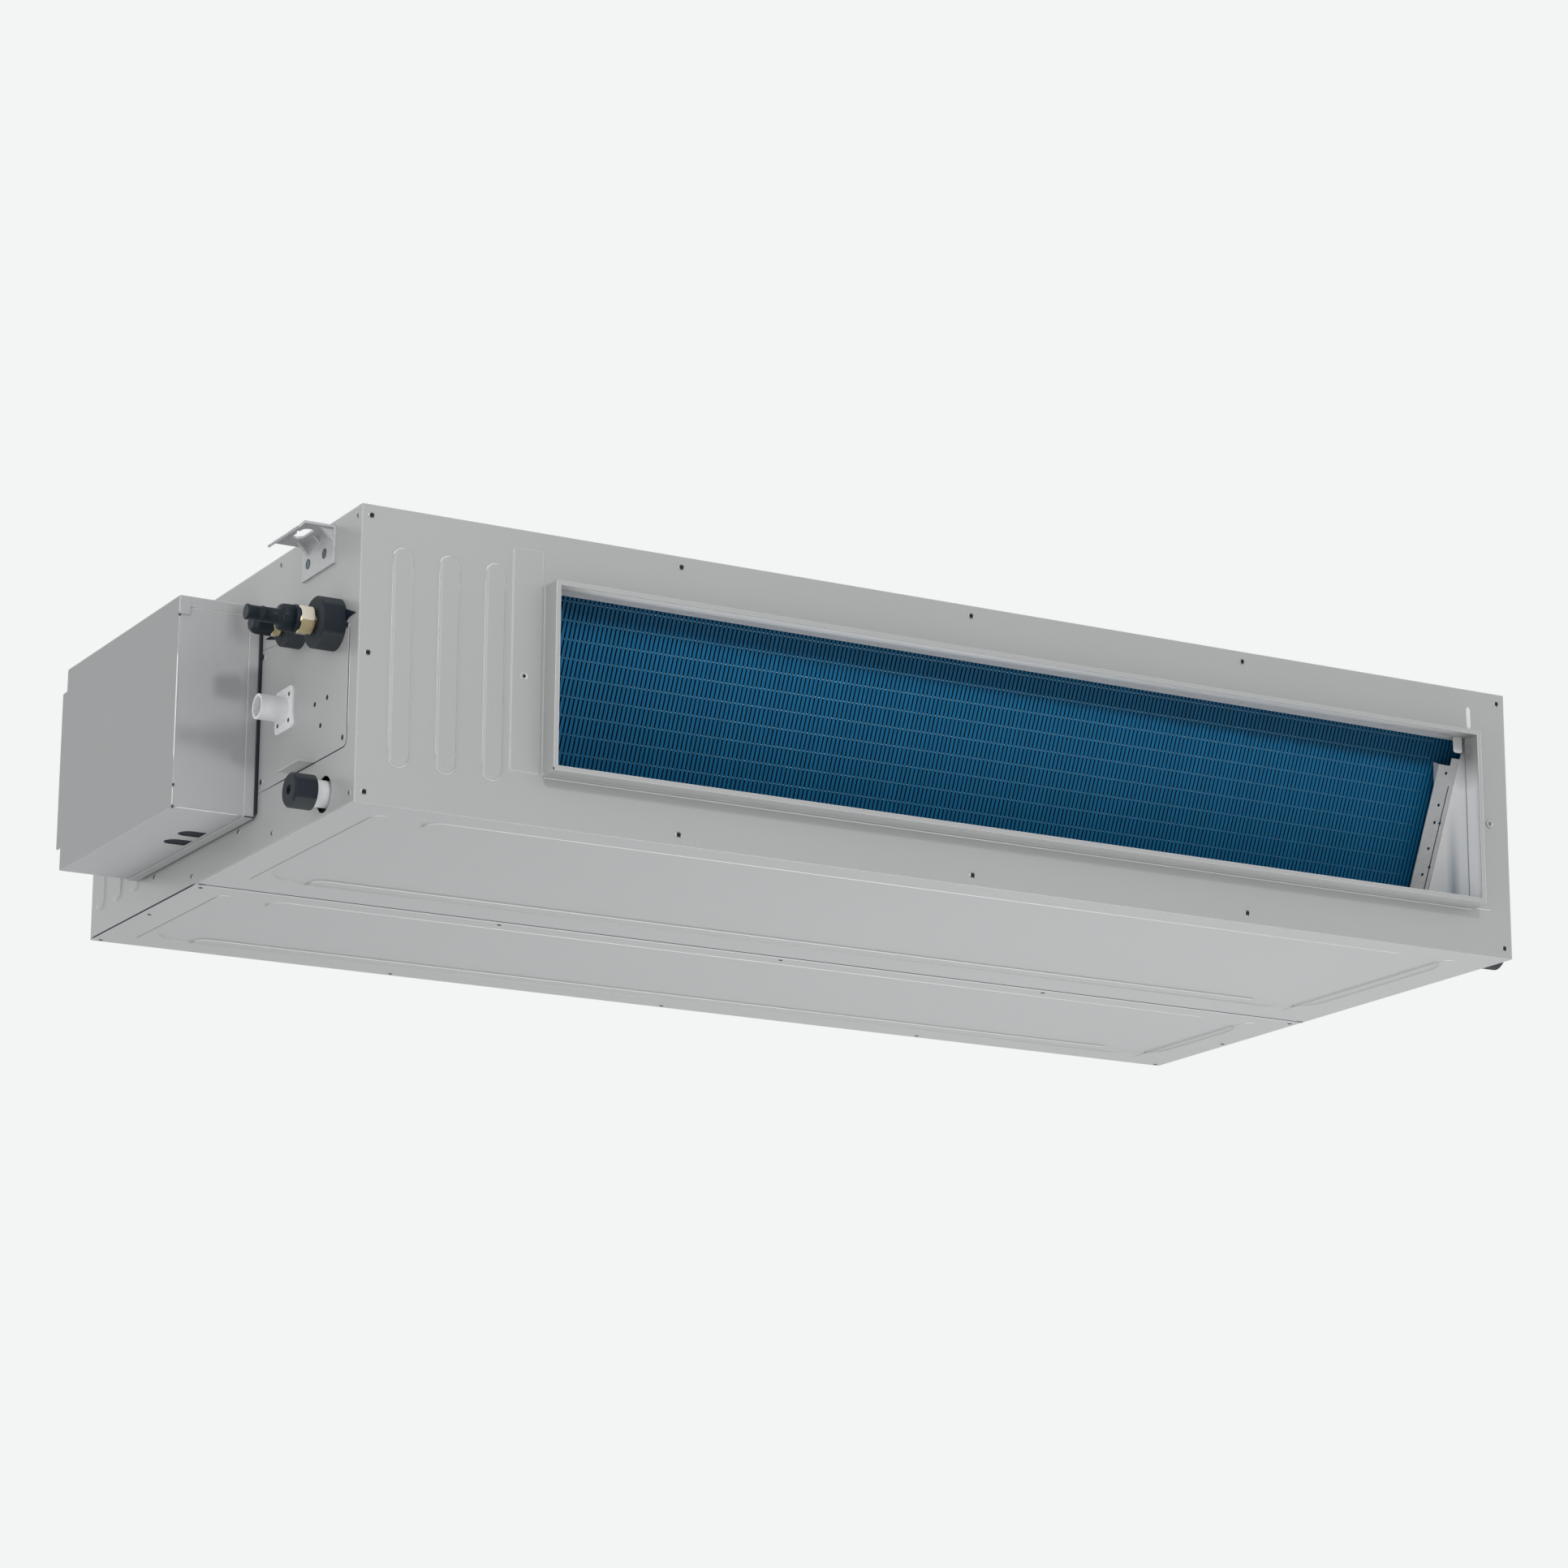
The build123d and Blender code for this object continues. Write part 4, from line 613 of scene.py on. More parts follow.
# Painted tube highlights: one bright rod across the fins at each tube row, thicker towards the
# top, standing in for the gleam of the tubes seen through the slots
def makeTubeHighlights():
    maker = Maker()
    long = coil["right"] - coil["left"] - 2 - coil["bareFins"] * coil["pitch"]
    for row in range(coil["rows"]):
        up = coil["rowPitch"] * (row + 0.5)
        part = row / (coil["rows"] - 1)
        radius = coil["barFoot"] + (coil["barTop"] - coil["barFoot"]) * part
        first = coilSpot(coil["left"] + 1, up, radius + coil["barDepth"])
        # painted highlight: a bright rod where a tube gleams
        maker.turn(first, toRight, [(0, radius), (long, radius)], finishes["tubeHighlight"], 8)
    maker.piece("coilTubeHighlights", "inner_steel")


makeFins()
makeTubeHighlights()
print("coil made")


# Screws: a flanged head with a cross-shaped recess; the recess, and the head unless another
# finish is given, are dark painted shade, so that each reads as a small dark hole
screw = {"flange": 3.4, "crown": 2.6, "height": 0.9, "recess": 1.7, "web": 0.6, "sunk": -0.3,
         "small": 0.9}
screwPlaces = {
    "front": [(x, z) for x in (10, 351, 692.5, 1034, 1375) for z in (11, 289)] + [(10, 150)],
    "side": [(9.5, 290), (198.7, 290.3), (11.7, 11.1), (200.5, 11.4), (289.1, 31.6), (411.1, 11),
             (517, 31.5)],
    "cover": [(31.3, 71), (233.2, 71.4), (27, 183), (237.3, 203)],
    "underside": [(x, 408) for x in (9.2, 350.6, 694, 1034.6, 1375.2)]
    + [(9, 550), (9, 691.8), (1375, 547), (1375, 691.8)] + [(x, 691) for x in (352, 694, 1036)],
}


def crossed(reach):
    def radius(angle):
        turned = math.degrees(angle) % 90
        return reach if turned < 16 or turned > 74 else screw["web"]
    return radius


def addScrew(maker, place, outward, size=1.0, head=None):
    # painted shade: the head's default finish and the recess are dark
    head = head or finishes["paintedShadeHead"]
    dark = finishes["motor_paint"]
    flange = screw["flange"] * size
    crown = screw["crown"] * size
    top = screw["height"] * size
    washer = [(screw["sunk"], flange), (0.3 * size, flange), (0.5 * size, flange * 0.92),
              (0.42 * size, crown + 0.05)]
    maker.turn(place, outward, washer, finishes["screw_steel"], ends=False)
    dome = [(screw["sunk"], crown), (0.5 * size, crown), (0.82 * size, crown * 0.9),
            (top, crown * 0.75)]
    rings = maker.turn(place, outward, dome, head, ends=False)
    recess = [(top, crossed(screw["recess"] * size)), (0, crossed(screw["recess"] * 0.7 * size))]
    inset = maker.turn(place, outward, recess, dark, smooth=False, ends=False)
    count = len(inset[0])
    for i in range(count):
        j = (i + 1) % count
        maker.face((rings[-1][i], rings[-1][j], inset[0][j], inset[0][i]), head)
    maker.face(inset[1], dark)
    maker.face(list(reversed(rings[0])), head)


def makeScrews():
    maker = Maker()
    pale = finishes["screwPale"]
    for x, z in screwPlaces["front"]:
        addScrew(maker, spot(x, 0, z), toFront)
    for y, z in screwPlaces["side"]:
        addScrew(maker, spot(0, y, z), toLeft, screw["small"], pale)
        addScrew(maker, spot(casing["width"], y, z), toRight, screw["small"], pale)
    for y, z in screwPlaces["cover"]:
        addScrew(maker, spot(0, y, z), toLeft)
    for x, y in screwPlaces["underside"]:
        addScrew(maker, spot(x, y, 0), toFloor, screw["small"])
    heads = maker.piece("casingScrewHeads", "screw_steel")
    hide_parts("casing_screws")


# Bracket rivets: a rim drawn dark as painted shade round a shallow steel face, on the bracket's sheet
rivet = {
    "places": (85.0, 125.2), "height": 271, "bracketSheet": 2.5,
    "rim": [(-0.4, 5.1), (0.25, 5.1), (0.4, 4.8), (0.15, 4.4)],
    "face": [(-0.4, 4.45), (0.1, 4.4), (0.25, 3.9), (0.3, 2.0), (0.12, 1.7), (0.1, 0.4)],
}


def makeRivets():
    maker = Maker()
    for place in rivet["places"]:
        for y in (place, casing["depth"] - place):
            for x, way in ((0.0, -1), (casing["width"], 1)):
                seat = spot(x + way * rivet["bracketSheet"], y, rivet["height"])
                outward = (way, 0, 0)
                maker.turn(seat, outward, rivet["rim"], finishes["paintedShadeHead"], 32, ends=False)
                maker.turn(seat, outward, rivet["face"], finishes["rivetFace"], 32)
    heads = maker.piece("bracketScrewHeads", "screw_steel")
    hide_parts("bracket_screws")


makeScrews()
makeRivets()
print("screws made")


# a low rounded bead on the front face, over a rectangle of it
def addBead(maker, x0, x1, z0, z1, lift, material):
    upright = z1 - z0 > x1 - x0
    low, high, near, far = (z0, z1, x0, x1) if upright else (x0, x1, z0, z1)
    half = (far - near) / 2
    span = high - low
    end = min(half, span / 6)
    section = [(-1, 0.05), (-0.62, -0.72), (0, -1.0), (0.62, -0.72), (1, 0.05)]
    loops = []
    for along, size in ((0, 0.05), (end, 1), (span - end, 1), (span, 0.05)):
        loop = []
        for across, out in section:
            side = (near + far) / 2 + across * half * max(size, 0.4)
            y = out * lift * size if out < 0 else 0.2
            run = low + along
            loop.append(spot(side, y, run) if upright else spot(run, y, side))
        loops.append(loop)
    maker.loft(loops, material, smooth=True)


# a thin raised line that follows points on the sheet and dies away at both ends
def addTrack(maker, points, outward, half, lift, material, fade=6.0):
    outward = Vector(outward)
    runs = [0.0]
    for first, second in zip(points, points[1:]):
        runs.append(runs[-1] + (second - first).length * 1000)
    section = [(-1, -0.2), (-0.6, 0.7), (0, 1.0), (0.6, 0.7), (1, -0.2)]
    loops = []
    for i, point in enumerate(points):
        ahead = points[min(i + 1, len(points) - 1)] - points[max(i - 1, 0)]
        side = ahead.normalized().cross(outward)
        size = max(0.12, min(1.0, runs[i] / fade, (runs[-1] - runs[i]) / fade))
        loops.append([point + side * (half * size * a / 1000) + outward * (lift * size * b / 1000)
                      for a, b in section])
    maker.loft(loops, material, smooth=True)


def arcPoints(x, y, radius, start, stop, steps=6):
    turns = [math.radians(start + (stop - start) * i / steps) for i in range(steps + 1)]
    return [(x + radius * math.cos(turn), y + radius * math.sin(turn)) for turn in turns]


# a straight run, with extra points near both ends so that it can fade there
def straightRun(first, second, fade=6.0):
    (x0, y0), (x1, y1) = first, second
    part = fade / math.dist(first, second)
    return [(x0 + (x1 - x0) * step, y0 + (y1 - y0) * step) for step in (0, part, 0.5, 1 - part, 1)]


def rounded(u0, u1, v0, v1, radius=0.3, steps=1):
    outline = []
    for u, v, start in ((u1 - radius, v1 - radius, 0), (u0 + radius, v1 - radius, 90),
                        (u0 + radius, v0 + radius, 180), (u1 - radius, v0 + radius, 270)):
        outline += arcPoints(u, v, radius, start, start + 90, steps)
    return outline


# a ring pressed into the sheet round a small hole, closed by a darker disc that stands for the
# shade inside it
def addEyelet(maker, place, hole, rim, inside):
    ring = [(-0.2, rim), (0.45, rim * 0.93), (0.5, rim * 0.85), (-0.1, hole * 1.1), (-0.3, hole)]
    maker.turn(place, toFront, ring, finishes["inner_steel"], ends=False)
    maker.turn(place, toFront, [(-0.25, hole * 1.05), (-0.15, hole * 1.05)], finishes[inside], 16)


# Pressings of the underside, as painted lines: painted highlights across, painted shade lines to
# the back, each with a painted highlight hook at its near end, at the places measured in the
# photograph
pressings = {
    "front": (38.8, 1324.0, 37.0, 318.5), "rear": (39.6, 1327.4, 428.5, 634.7), "radius": 9.0,
    "band": 60.0, "past": 32.0, "hook": 13.0, "half": 1.15, "lift": 0.5, "dullHalf": 0.8,
    "dullEnds": (1.0, 0.6), "dullLift": 0.15, "seam": 395.0, "lip": 400.8, "slots": (1.0, 1376.0),
    "slot": (8.0, -2.2, 0.6), "sideSeam": 1.3, "wallRibs": (682.4, 632.6, 582.9),
    "wallRun": (27.0, 33.0, 130.0, 232.0, 240.0), "lipRun": (4.0, 12.0, 700.0, 1373.0, 1381.0),
    "seamRun": (1.5, 12.0, 700.0, 1373.0, 1383.5), "sideRun": (399.0, 410.0, 550.0, 690.0, 697.0),
}


def makePressLines():
    look = pressings
    maker = Maker()
    paintedHighlight = finishes["pressLine"]
    paintedShadeLine = finishes["pressShade"]
    radius = look["radius"]
    hook = look["hook"]
    for name in ("front", "rear"):
        x0, x1, y0, y1 = look[name]
        for x, half in zip((x0, x1), look["dullEnds"]):
            run = straightRun((x, y1 + look["past"]), (x, y0 + radius))
            addTrack(maker, onBottom(run), toFloor, half, look["dullLift"], paintedShadeLine)
            run = arcPoints(x + radius, y0 + radius, radius, 195, 268) + [(x + radius + 5, y0)]
            addTrack(maker, onBottom(run), toFloor, look["half"], look["lift"], paintedHighlight, 4.0)
        inner = x0 + look["band"]
        outer = x1 - look["band"]
        for y in (y0, y1):
            run = [(inner, y + reach * hook) for reach in (2, 1.5, 0.9)]
            addTrack(maker, onBottom(run), toFloor, look["dullHalf"], look["dullLift"], paintedShadeLine)
            run = arcPoints(inner + hook, y + hook, hook, 185, 268)
            run += straightRun((inner + hook + 3, y), (outer, y))
            addTrack(maker, onBottom(run), toFloor, look["half"], look["lift"], paintedHighlight)
    # painted highlight lines on the left wall's ribs and along the lip
    for y in look["wallRibs"]:
        run = [(y, z) for z in look["wallRun"]]
        addTrack(maker, onLeft(run), toLeft, 1.2, 0.5, paintedHighlight)
    run = [(x, look["lip"]) for x in look["lipRun"]]
    addTrack(maker, onBottom(run), toFloor, 0.8, 0.3, paintedHighlight)
    maker.piece("undersidePressLines", "casing_sheet")


# the dark joint between the two underside panels, and the one under the left wall
def makeSeams():
    look = pressings
    maker = Maker()
    dark = finishes["shadeAndJointNavy"]
    run = [(x, look["seam"]) for x in look["seamRun"]]
    addTrack(maker, onBottom(run), toFloor, 1.2, 0.14, dark)
    # painted shade: the slots at the seam's ends are dark plates for the shade in the openings
    long, near, far = look["slot"]
    for x in look["slots"]:
        outline = rounded(x, x + long, look["seam"] + near, look["seam"] + far, 0.5, 2)
        maker.plate("z", outline, -0.25, 0.3, dark)
    run = [(y, look["sideSeam"]) for y in look["sideRun"]]
    addTrack(maker, onLeft(run), toLeft, 1.0, 0.14, dark)
    maker.piece("undersideSeam", "casing_sheet")


# Collar: the lining's rolled edge closes the corner between its top and the foam behind it
collar = {
    "rollEnds": (200.9, 1331.6), "rollFront": (-22.8, 245.1), "rollBack": (3.2, 244.9), "sag": 2.6,
    "rollSteps": 24, "tab": (1317.0, 1328.5, 227.0, 245.4), "tabDepth": (3.2, 4.6),
    "fold": (-22.0, -2.0, 52.6, 55.6), "foldPlace": (199.6, 200.65),
    "notch": (-24.6, -22.4, 52.8, 55.8), "notchPlace": (200.4, 201.2),
    "liner": (-23.6, 1.4, 54.0, 245.0), "linerPlace": (1331.2, 1331.78),
    "seam": (1.5, 2.4, 56.0, 243.0), "seamPlace": (1331.0, 1331.6),
}


def makeLiningRoll():
    (y0, z0), (y1, z1) = collar["rollFront"], collar["rollBack"]
    outline = []
    for i in range(collar["rollSteps"] + 1):
        part = i / collar["rollSteps"]
        hang = collar["sag"] * math.sin(math.pi * part) ** 0.8
        outline.append((y0 + (y1 - y0) * part, z0 + (z1 - z0) * part - hang))
    outline += [(y1, z1 + 0.05), (y1, z1 + 0.3), (y1 - 0.2, z1 + 0.32), (y0 + 0.2, z0 + 0.32),
                (y0, z0 + 0.3), (y0, z0 + 0.05)]
    maker = Maker()
    loops = [[spot(x, y, z) for y, z in outline] for x in collar["rollEnds"]]
    maker.loft(loops, finishes["liner_sheet"], smooth=True)
    maker.piece("liningRoll", "liner_sheet")


def makeCollarDetails():
    maker = Maker()
    maker.plate("y", rounded(*collar["tab"], 3.0, 5), *collar["tabDepth"], finishes["white_plastic"])
    maker.piece("liningTab", "white_plastic")
    maker = Maker()
    maker.plate("x", rounded(*collar["fold"], 0.2), *collar["foldPlace"], finishes["casing_sheet"])
    # painted shade: a dark plate in the small gap left at the corner
    maker.plate("x", rounded(*collar["notch"]), *collar["notchPlace"], finishes["motor_paint"])
    maker.piece("collarCornerFold", "casing_sheet")
    makeLiningRoll()
    maker = Maker()
    maker.plate("x", rounded(*collar["liner"], 0.5), *collar["linerPlace"], finishes["liner_sheet"])
    maker.plate("x", rounded(*collar["seam"]), *collar["seamPlace"], finishes["screwPale"])
    maker.piece("collarRightLiner", "liner_sheet")


# Front: a white strip and two painted highlight lines by the collar, painted highlight lines
# along the outlines of the ribs, two dimples
front = {
    "strip": (1332.3, 1338.7, 254.5, 280.5), "stripLift": 1.1,
    "footLine": (201.0, 1331.0, 49.4, 50.8), "footLift": 0.3,
    "cornerLine": (1338.5, 1357.0, 51.4, 52.6), "cornerLift": 0.45,
    "dimples": [((177.5, 150.0), "shadeAndJointNavy", 2.1), ((1360.0, 150.0), "screwPale", 2.4)],
    "padFace": -1.0, "dimpleRim": 4.3, "footHole": (1336.6, 0, 52.1), "footHoleSize": (1.5, 2.2),
    "ribs": (45.0, 95.0, 145.0), "ribReach": 10.9, "ribEnds": (51.0, 249.5), "ribInset": 2.0,
    "ribTop": (178, 62, 10), "ribFoot": (185, 350, 12), "ribHalves": (0.9, 0.6, 0.45, 0.36),
    "ribLift": 0.4,
}


def makeFrontDetails():
    maker = Maker()
    paintedHighlight = finishes["pressLine"]
    addBead(maker, *front["strip"], front["stripLift"], finishes["white_plastic"])
    # painted highlights: bright beads under the collar and at its corner, and along the rib outlines
    addBead(maker, *front["footLine"], front["footLift"], paintedHighlight)
    addBead(maker, *front["cornerLine"], front["cornerLift"], paintedHighlight)
    reach = front["ribReach"]
    low, high = front["ribEnds"]
    inset = front["ribInset"]
    for x in front["ribs"]:
        lines = [arcPoints(x, high, reach, *front["ribTop"]),
                 arcPoints(x, low, reach, *front["ribFoot"])]
        for side in (x - reach, x + reach):
            lines.append(straightRun((side, high - inset), (side, low + inset)))
        for line, half in zip(lines, front["ribHalves"]):
            addTrack(maker, onFront(line), toFront, half, half * front["ribLift"], paintedHighlight)
    maker.piece("frontBeads", "casing_sheet")
    maker = Maker()
    for (x, z), inside, hole in front["dimples"]:
        addEyelet(maker, spot(x, front["padFace"], z), hole, front["dimpleRim"], inside)
    addEyelet(maker, spot(*front["footHole"]), *front["footHoleSize"], "shadeAndJointNavy")
    maker.piece("frontEyelets", "casing_sheet")


# Pipe cover: dark discs of painted shade in open holes for other fittings, the dark joint along
# two edges with a painted highlight line beside it, and a dark wedge in its slit
cover = {
    "holes": [(72.5, 121.0), (102.8, 121.0), (87.2, 96.0)],
    "hole": [(-0.4, 2.6), (0.10, 2.6), (0.16, 2.4), (0.16, 0.3)],
    "gap": [(236.0, 60.9), (180.0, 60.9), (90.0, 60.9), (31.0, 60.9), (26.6, 61.6), (23.6, 63.4),
            (22.4, 67.0), (22.2, 90.0), (22.2, 150.0), (22.2, 189.0)],
    "light": [(20.2, 70.0), (20.2, 90.0), (20.2, 150.0), (20.2, 190.0)],
    "slit": [(91.0, 207.0), (45.8, 204.5), (30.0, 199.8), (7.8, 191.0), (22.5, 190.3), (37.0, 186.0),
             (91.0, 178.0)],
    "slitDepth": (-1.6, -0.2), "gapHalf": 0.75, "lightHalf": 0.8, "lift": 0.16,
}


def makeCoverDetails():
    maker = Maker()
    dark = finishes["shadeAndJointNavy"]
    # painted shade: a dark disc in each hole
    for place in onLeft(cover["holes"]):
        maker.turn(place, toLeft, cover["hole"], dark, 20)
    paintedHighlight = finishes["pressLine"]
    addTrack(maker, onLeft(cover["gap"]), toLeft, cover["gapHalf"], cover["lift"], dark)
    # painted highlight: a bright line beside the joint
    addTrack(maker, onLeft(cover["light"]), toLeft, cover["lightHalf"], cover["lift"], paintedHighlight)
    maker.piece("coverJoint", "casing_sheet")
    maker = Maker()
    # a dark wedge in the slit
    maker.plate("x", cover["slit"], *cover["slitDepth"], dark)
    maker.piece("slitDarkWedge", "black_foam")


# Shipping caps on the pipe ends; rows are (distance from the wall, radius)
caps = {
    "gas": (55.7, 190.1), "liquid": (144.1, 209.0),
    "gasBody": [(41.6, 13.4), (42.4, 14.3), (45.8, 14.3), (46.4, 13.5), (47.0, 13.4)],
    "gasGrip": [(46.8, 13.6), (57.6, 13.4), (60.0, 12.4), (62.0, 10.2)],
    "gasNose": [(61.8, 9.6), (62.4, 8.4), (63.0, 7.6), (77.0, 7.4), (77.4, 8.0), (79.2, 8.0),
                (79.6, 7.2), (83.0, 7.2), (83.2, 6.9), (84.0, 6.9), (84.2, 7.2), (92.0, 7.3),
                (93.0, 7.9), (95.0, 7.8), (95.4, 6.9)],
    "liquidBody": [(32.0, 11.6), (33.0, 12.4), (49.0, 12.2), (52.6, 9.2), (53.4, 8.8)],
    "flutes": 12, "fluteDepth": 0.5,
}


# a round body with shallow ridges along it, as moulded for a good grip
def fluted(reach):
    def radius(angle):
        wave = 0.5 + 0.5 * math.cos(angle * caps["flutes"])
        return reach - caps["fluteDepth"] * wave ** 6
    return radius


def makeCaps():
    dark = finishes["black_cap"]
    gas, liquid = onLeft([caps["gas"], caps["liquid"]])
    maker = Maker()
    maker.turn(gas, toLeft, caps["gasBody"], dark, 48)
    grip = [(along, fluted(radius)) for along, radius in caps["gasGrip"]]
    maker.turn(gas, toLeft, grip, dark, 96)
    maker.turn(gas, toLeft, caps["gasNose"], dark, 40)
    made = maker.piece("gasCapMoulded", "black_cap")
    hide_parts("gas_pipe_cap")
    maker = Maker()
    maker.turn(liquid, toLeft, caps["liquidBody"], dark, 8, False)
    made = maker.piece("liquidCapMoulded", "black_cap")
    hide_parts("liquid_pipe_cap")


stub = {"y": 175.4, "z": 132.5, "spacing": 27.0, "flange": 2.5, "size": 0.75}


def makeStubScrews():
    maker = Maker()
    half = stub["spacing"] / 2
    for y in (stub["y"] - half, stub["y"] + half):
        for z in (stub["z"] - half, stub["z"] + half):
            addScrew(maker, spot(-stub["flange"], y, z), toLeft, stub["size"])
    maker.piece("stubFlangeScrews", "screw_steel")


# Electric box: folds of its lid, dark plates of painted shade in its corner notches, painted
# highlight lines along its edges, a black foam strip in the gap to the wall that is a seal and also
# stands in for the gap's shade, its ear with a dark strip under it, a dark plate of painted shade
# in its cable slot
box = {
    "front": 244.1, "outer": -90.0, "lid": (-78.5, -14.5, 246.0, 256.9), "lidLift": 0.7,
    "corner": (-90.0, -78.5, 237.5, 256.9), "cornerLift": 1.12,
    "pimples": [(-49.0, 190.0), (-41.0, 105.0)], "pimple": [(-0.1, 1.0), (0.35, 0.9), (0.6, 0.4)],
    "notches": [37.6, 60.0, 237.0], "notch": (-0.3, 1.6, -1.5, 1.5), "notchDepth": (-0.4, 1.4),
    "edgeLines": [(205.0, 80.0, 0.9), (58.0, 39.5, 1.5), (256.0, 239.0, 1.1), (223.0, 219.0, 1.2),
                  (76.0, 73.5, 1.1), (68.5, 65.5, 1.2)],
    "crossLines": [(256.6, -88.5, -16.0), (245.6, -77.0, -16.0), (37.6, -88.0, -16.0)],
    "edgeInset": 0.1, "crossInset": 5, "crossHalf": 0.7, "crossLift": 0.45, "fade": 4.0,
    "gapSealShade": (240.2, 246.6, 40.0, 250.0), "gapSealShadePlace": (-2.9, -0.1),
    "ear": (243.8, 272.0, 37.4, 45.4), "earRadius": 3.99, "earPlace": (-13.4, -12.2),
    "earDarkStrip": (242.9, 260.0, 36.5, 37.3), "earDarkStripPlace": (-12.6, -3.0),
    "slotShade": (-52.0, -12.0, 322.0, 400.0), "slotShadeHeight": (38.3, 40.0),
}


def makeBoxDetails():
    sheet = finishes["box_sheet"]
    paintedHighlight = finishes["pressLine"]
    seal = finishes["black_foam"]
    face = box["front"]
    maker = Maker()
    for name in ("lid", "corner"):
        maker.plate("y", rounded(*box[name], 0.4), face - box[name + "Lift"], face, sheet)
    for x, z in box["pimples"]:
        maker.turn(spot(x, face, z), toFront, box["pimple"], sheet, 12)
    maker.piece("boxLidFold", "box_sheet")
    maker = Maker()
    # painted shade: dark plates in the corner notches
    x0, x1, z0, z1 = box["notch"]
    near, far = box["notchDepth"]
    for z in box["notches"]:
        outline = rounded(box["outer"] + x0, box["outer"] + x1, z + z0, z + z1)
        maker.plate("y", outline, face + near, face + far, finishes["motor_paint"])
    maker.piece("boxCornerNotchShade", "box_sheet")
    maker = Maker()
    # painted highlights along the box's edges
    corner = Vector((-1, -1, 0)).normalized()
    for z0, z1, half in box["edgeLines"]:
        inset = box["edgeInset"] * (z1 - z0)
        run = [spot(box["outer"], face, z) for z in (z0, z0 + inset, z1 - inset, z1)]
        addTrack(maker, run, corner, half, half / 2, paintedHighlight, box["fade"])
    for z, x0, x1 in box["crossLines"]:
        inset = box["crossInset"]
        run = [spot(x, face, z) for x in (x0, x0 + inset, x1 - inset, x1)]
        addTrack(maker, run, toFront, box["crossHalf"], box["crossLift"], paintedHighlight, box["fade"])
    maker.piece("boxEdgeLines", "box_sheet")
    maker = Maker()
    # a seal that also stands in for the shade in the gap
    maker.plate("x", rounded(*box["gapSealShade"], 0.5), *box["gapSealShadePlace"], seal)
    maker.piece("boxGapSealShade", "black_foam")
    maker = Maker()
    maker.plate("x", rounded(*box["ear"], box["earRadius"], 5), *box["earPlace"], sheet)
    # a dark strip under the ear
    maker.plate("x", rounded(*box["earDarkStrip"], 0.3, 2), *box["earDarkStripPlace"], seal)
    maker.piece("boxEar", "box_sheet")
    maker = Maker()
    # painted shade: a dark plate in the cable slot
    maker.plate("z", rounded(*box["slotShade"], 3.0, 5), *box["slotShadeHeight"], finishes["shadeAndJointNavy"])
    maker.piece("cableSlotShade", "black_foam")


makePressLines()
makeSeams()
makeCoverDetails()
makeCaps()
makeFrontDetails()
makeCollarDetails()
makeStubScrews()
makeBoxDetails()
print("small details made")


# Camera at the photograph's angle
camera = {
    "place": (-2.42832, -4.32567, -1.10549), "turn": 29.029, "rise": 14.601, "roll": 0.297,
    "focalPixels": 5739.33, "imagePixels": 1932, "sensor": 36.0,
}


def makeCamera():
    turn = math.radians(camera["turn"])
    rise = math.radians(camera["rise"])
    roll = math.radians(camera["roll"])
    ahead = math.cos(rise)
    forward = Vector((math.sin(turn) * ahead, math.cos(turn) * ahead, math.sin(rise)))
    level = Vector((math.cos(turn), -math.sin(turn), 0))
    upright = level.cross(forward)
    across = level * math.cos(roll) + upright * math.sin(roll)
    above = upright * math.cos(roll) - level * math.sin(roll)
    data = bpy.data.cameras.new("camera")
    data.sensor_width = camera["sensor"]
    data.lens = camera["focalPixels"] * camera["sensor"] / camera["imagePixels"]
    data.clip_end = 100
    made = bpy.data.objects.new("camera", data)
    axes = Matrix((across, above, -forward)).transposed().to_4x4()
    made.matrix_world = Matrix.Translation(Vector(camera["place"])) @ axes
    bpy.context.scene.collection.objects.link(made)
    bpy.context.scene.camera = made


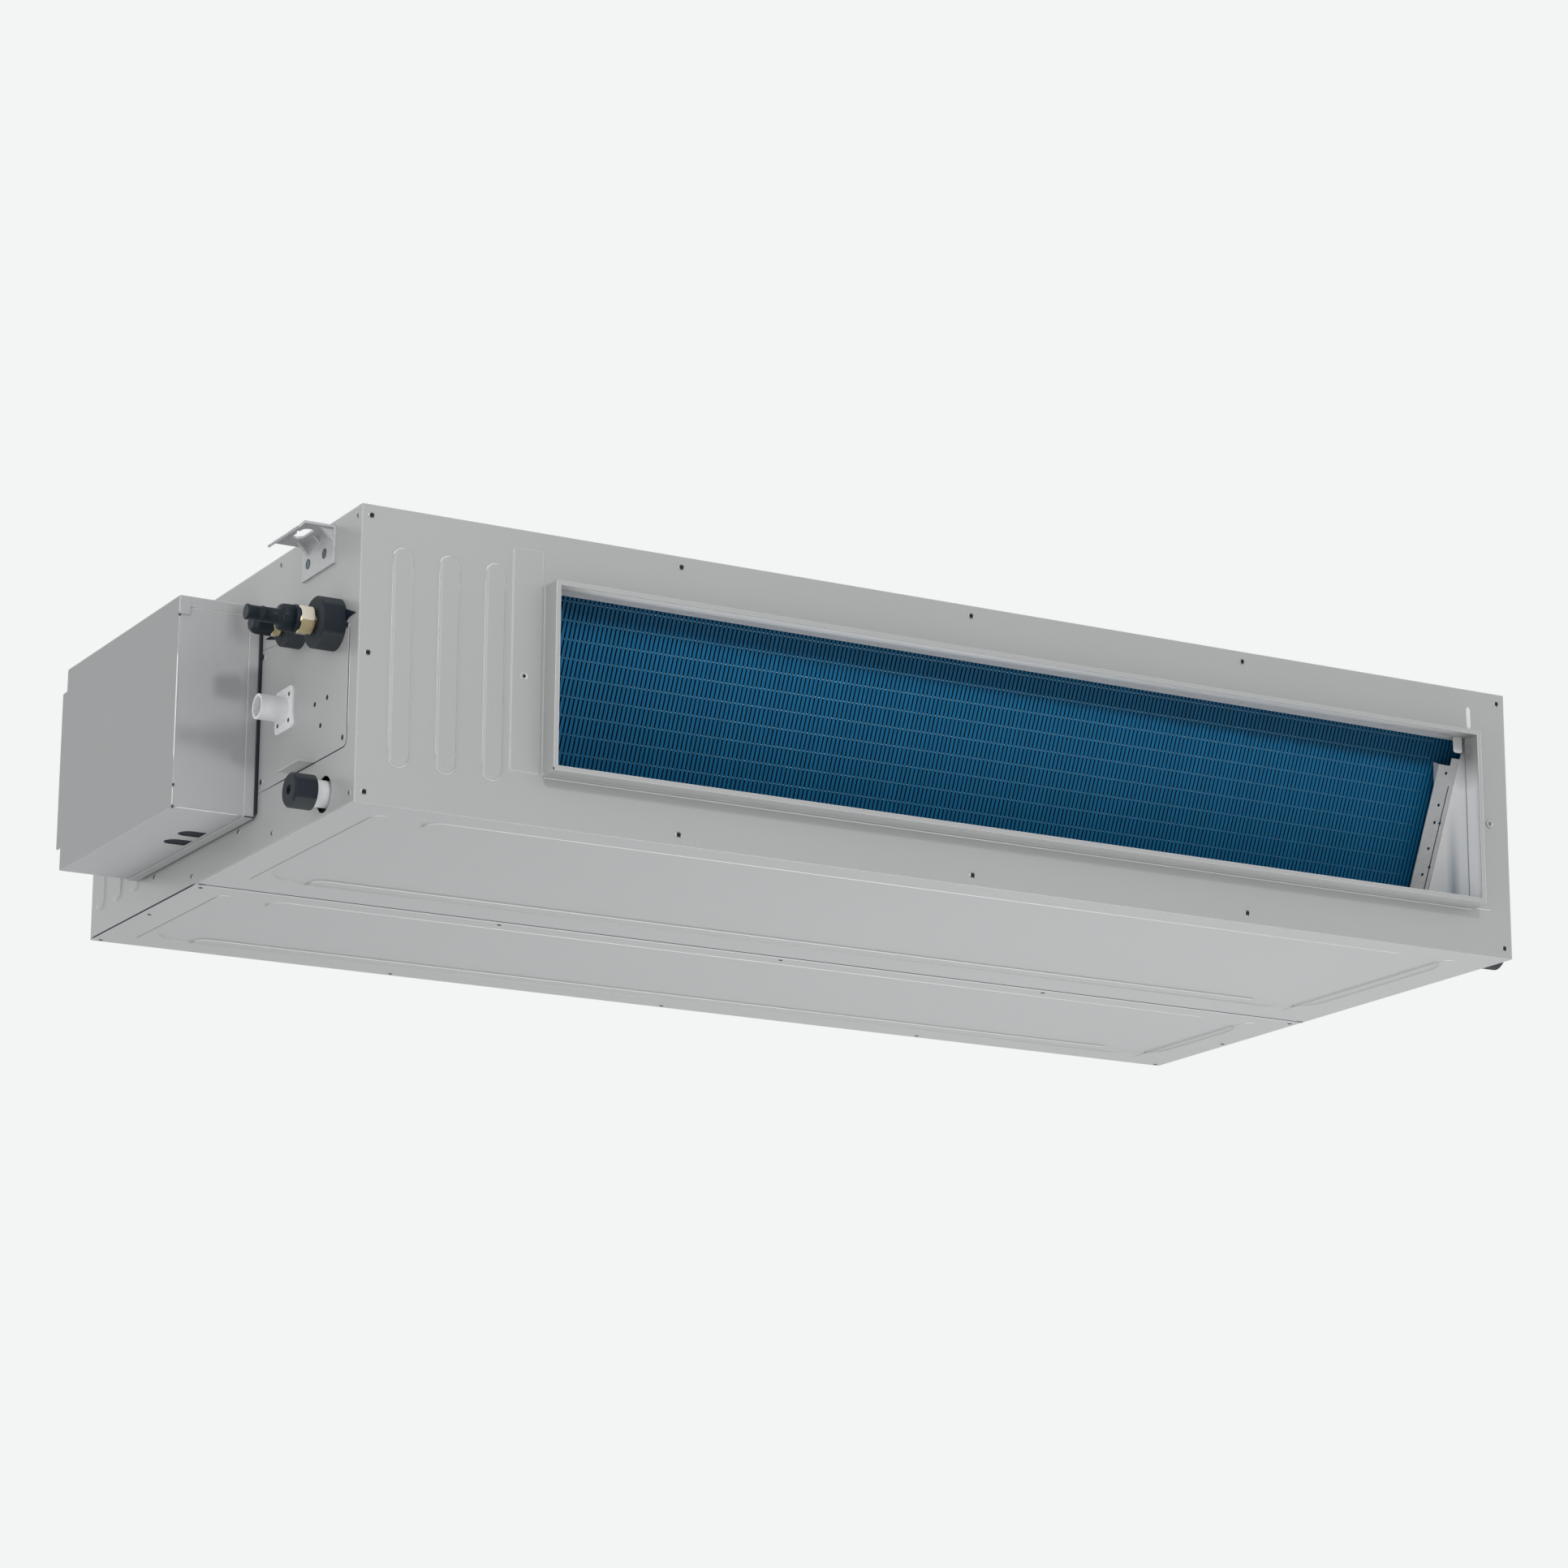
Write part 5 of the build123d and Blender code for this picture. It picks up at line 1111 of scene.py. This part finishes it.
# Studio: even pale surroundings, large soft lamps, and a floor far below the hanging unit
studio = {
    "sky": 0.62, "skyColour": (0.985, 0.995, 1.0, 1), "backdrop": (0.90, 0.905, 0.91, 1),
    "aim": Vector((0, 0, 0.15)), "floorHeight": -1.6, "floorRadius": 14000,
    "floorColour": (0.80, 0.805, 0.81), "floorGlow": 0.72,
    "lamps": {
        "keyLamp": {"place": (-0.9, -4.4, 1.9), "size": 0.5, "power": 42},
        "sideLamp": {"place": (-4.2, -1.9, -0.4), "size": 2.4, "power": 32},
        "lowLamp": {"place": (0.45, -0.15, -1.5), "size": 1.7, "power": 15},
        "backLamp": {"place": (1.8, 4.4, 2.2), "size": 2.6, "power": 60},
        "farLamp": {"place": (4.6, -0.6, 0.8), "size": 2.4, "power": 40},
    },
}


def makeSky():
    world = bpy.data.worlds.new("studio")
    bpy.context.scene.world = world
    sky = NodeTree(world)
    seen = sky.add("ShaderNodeLightPath", output="Is Camera Ray")
    for kind in ("Is Glossy Ray", "Is Transmission Ray"):
        seen = seen.larger(sky.add("ShaderNodeLightPath", output=kind))
    values = {"Color": studio["skyColour"], "Strength": studio["sky"]}
    light = sky.add("ShaderNodeBackground", None, values)
    backdrop = sky.add("ShaderNodeBackground", None, {"Color": studio["backdrop"]})
    both = sky.add("ShaderNodeMixShader", None, {0: seen, 1: light, 2: backdrop})
    sky.add("ShaderNodeOutputWorld", None, {"Surface": both})


def makeLamps():
    for name, look in studio["lamps"].items():
        data = bpy.data.lights.new(name, "AREA")
        data.shape = "DISK"
        data.size = look["size"]
        data.energy = look["power"]
        made = bpy.data.objects.new(name, data)
        made.location = look["place"]
        made.rotation_euler = (studio["aim"] - made.location).to_track_quat("-Z", "Y").to_euler()
        bpy.context.scene.collection.objects.link(made)


def makeFloor():
    ground = Finish("studioFloor")
    colour = ground.tint(studio["floorColour"], 1 + 0.01 * (ground.noise(3.0) - 0.5))
    matt = ground.add("ShaderNodeBsdfDiffuse", None, {"Color": colour, "Roughness": 0.6})
    pale = ground.add("ShaderNodeEmission", None, {"Color": studio["backdrop"]})
    seen = ground.add("ShaderNodeLightPath", output="Is Camera Ray") * studio["floorGlow"]
    both = ground.add("ShaderNodeMixShader", None, {0: seen, 1: matt, 2: pale})
    ground.add("ShaderNodeOutputMaterial", None, {"Surface": both})
    maker = Maker()
    radius = studio["floorRadius"]
    slab = [(-10, radius), (0, radius)]
    maker.turn(Vector((0, 0, studio["floorHeight"])), (0, 0, 1), slab, ground.material, 96)
    floor = maker.object("studioFloor")


makeCamera()
makeSky()
makeLamps()
makeFloor()
bpy.context.scene.view_settings.view_transform = "Standard"
print("camera and studio made")
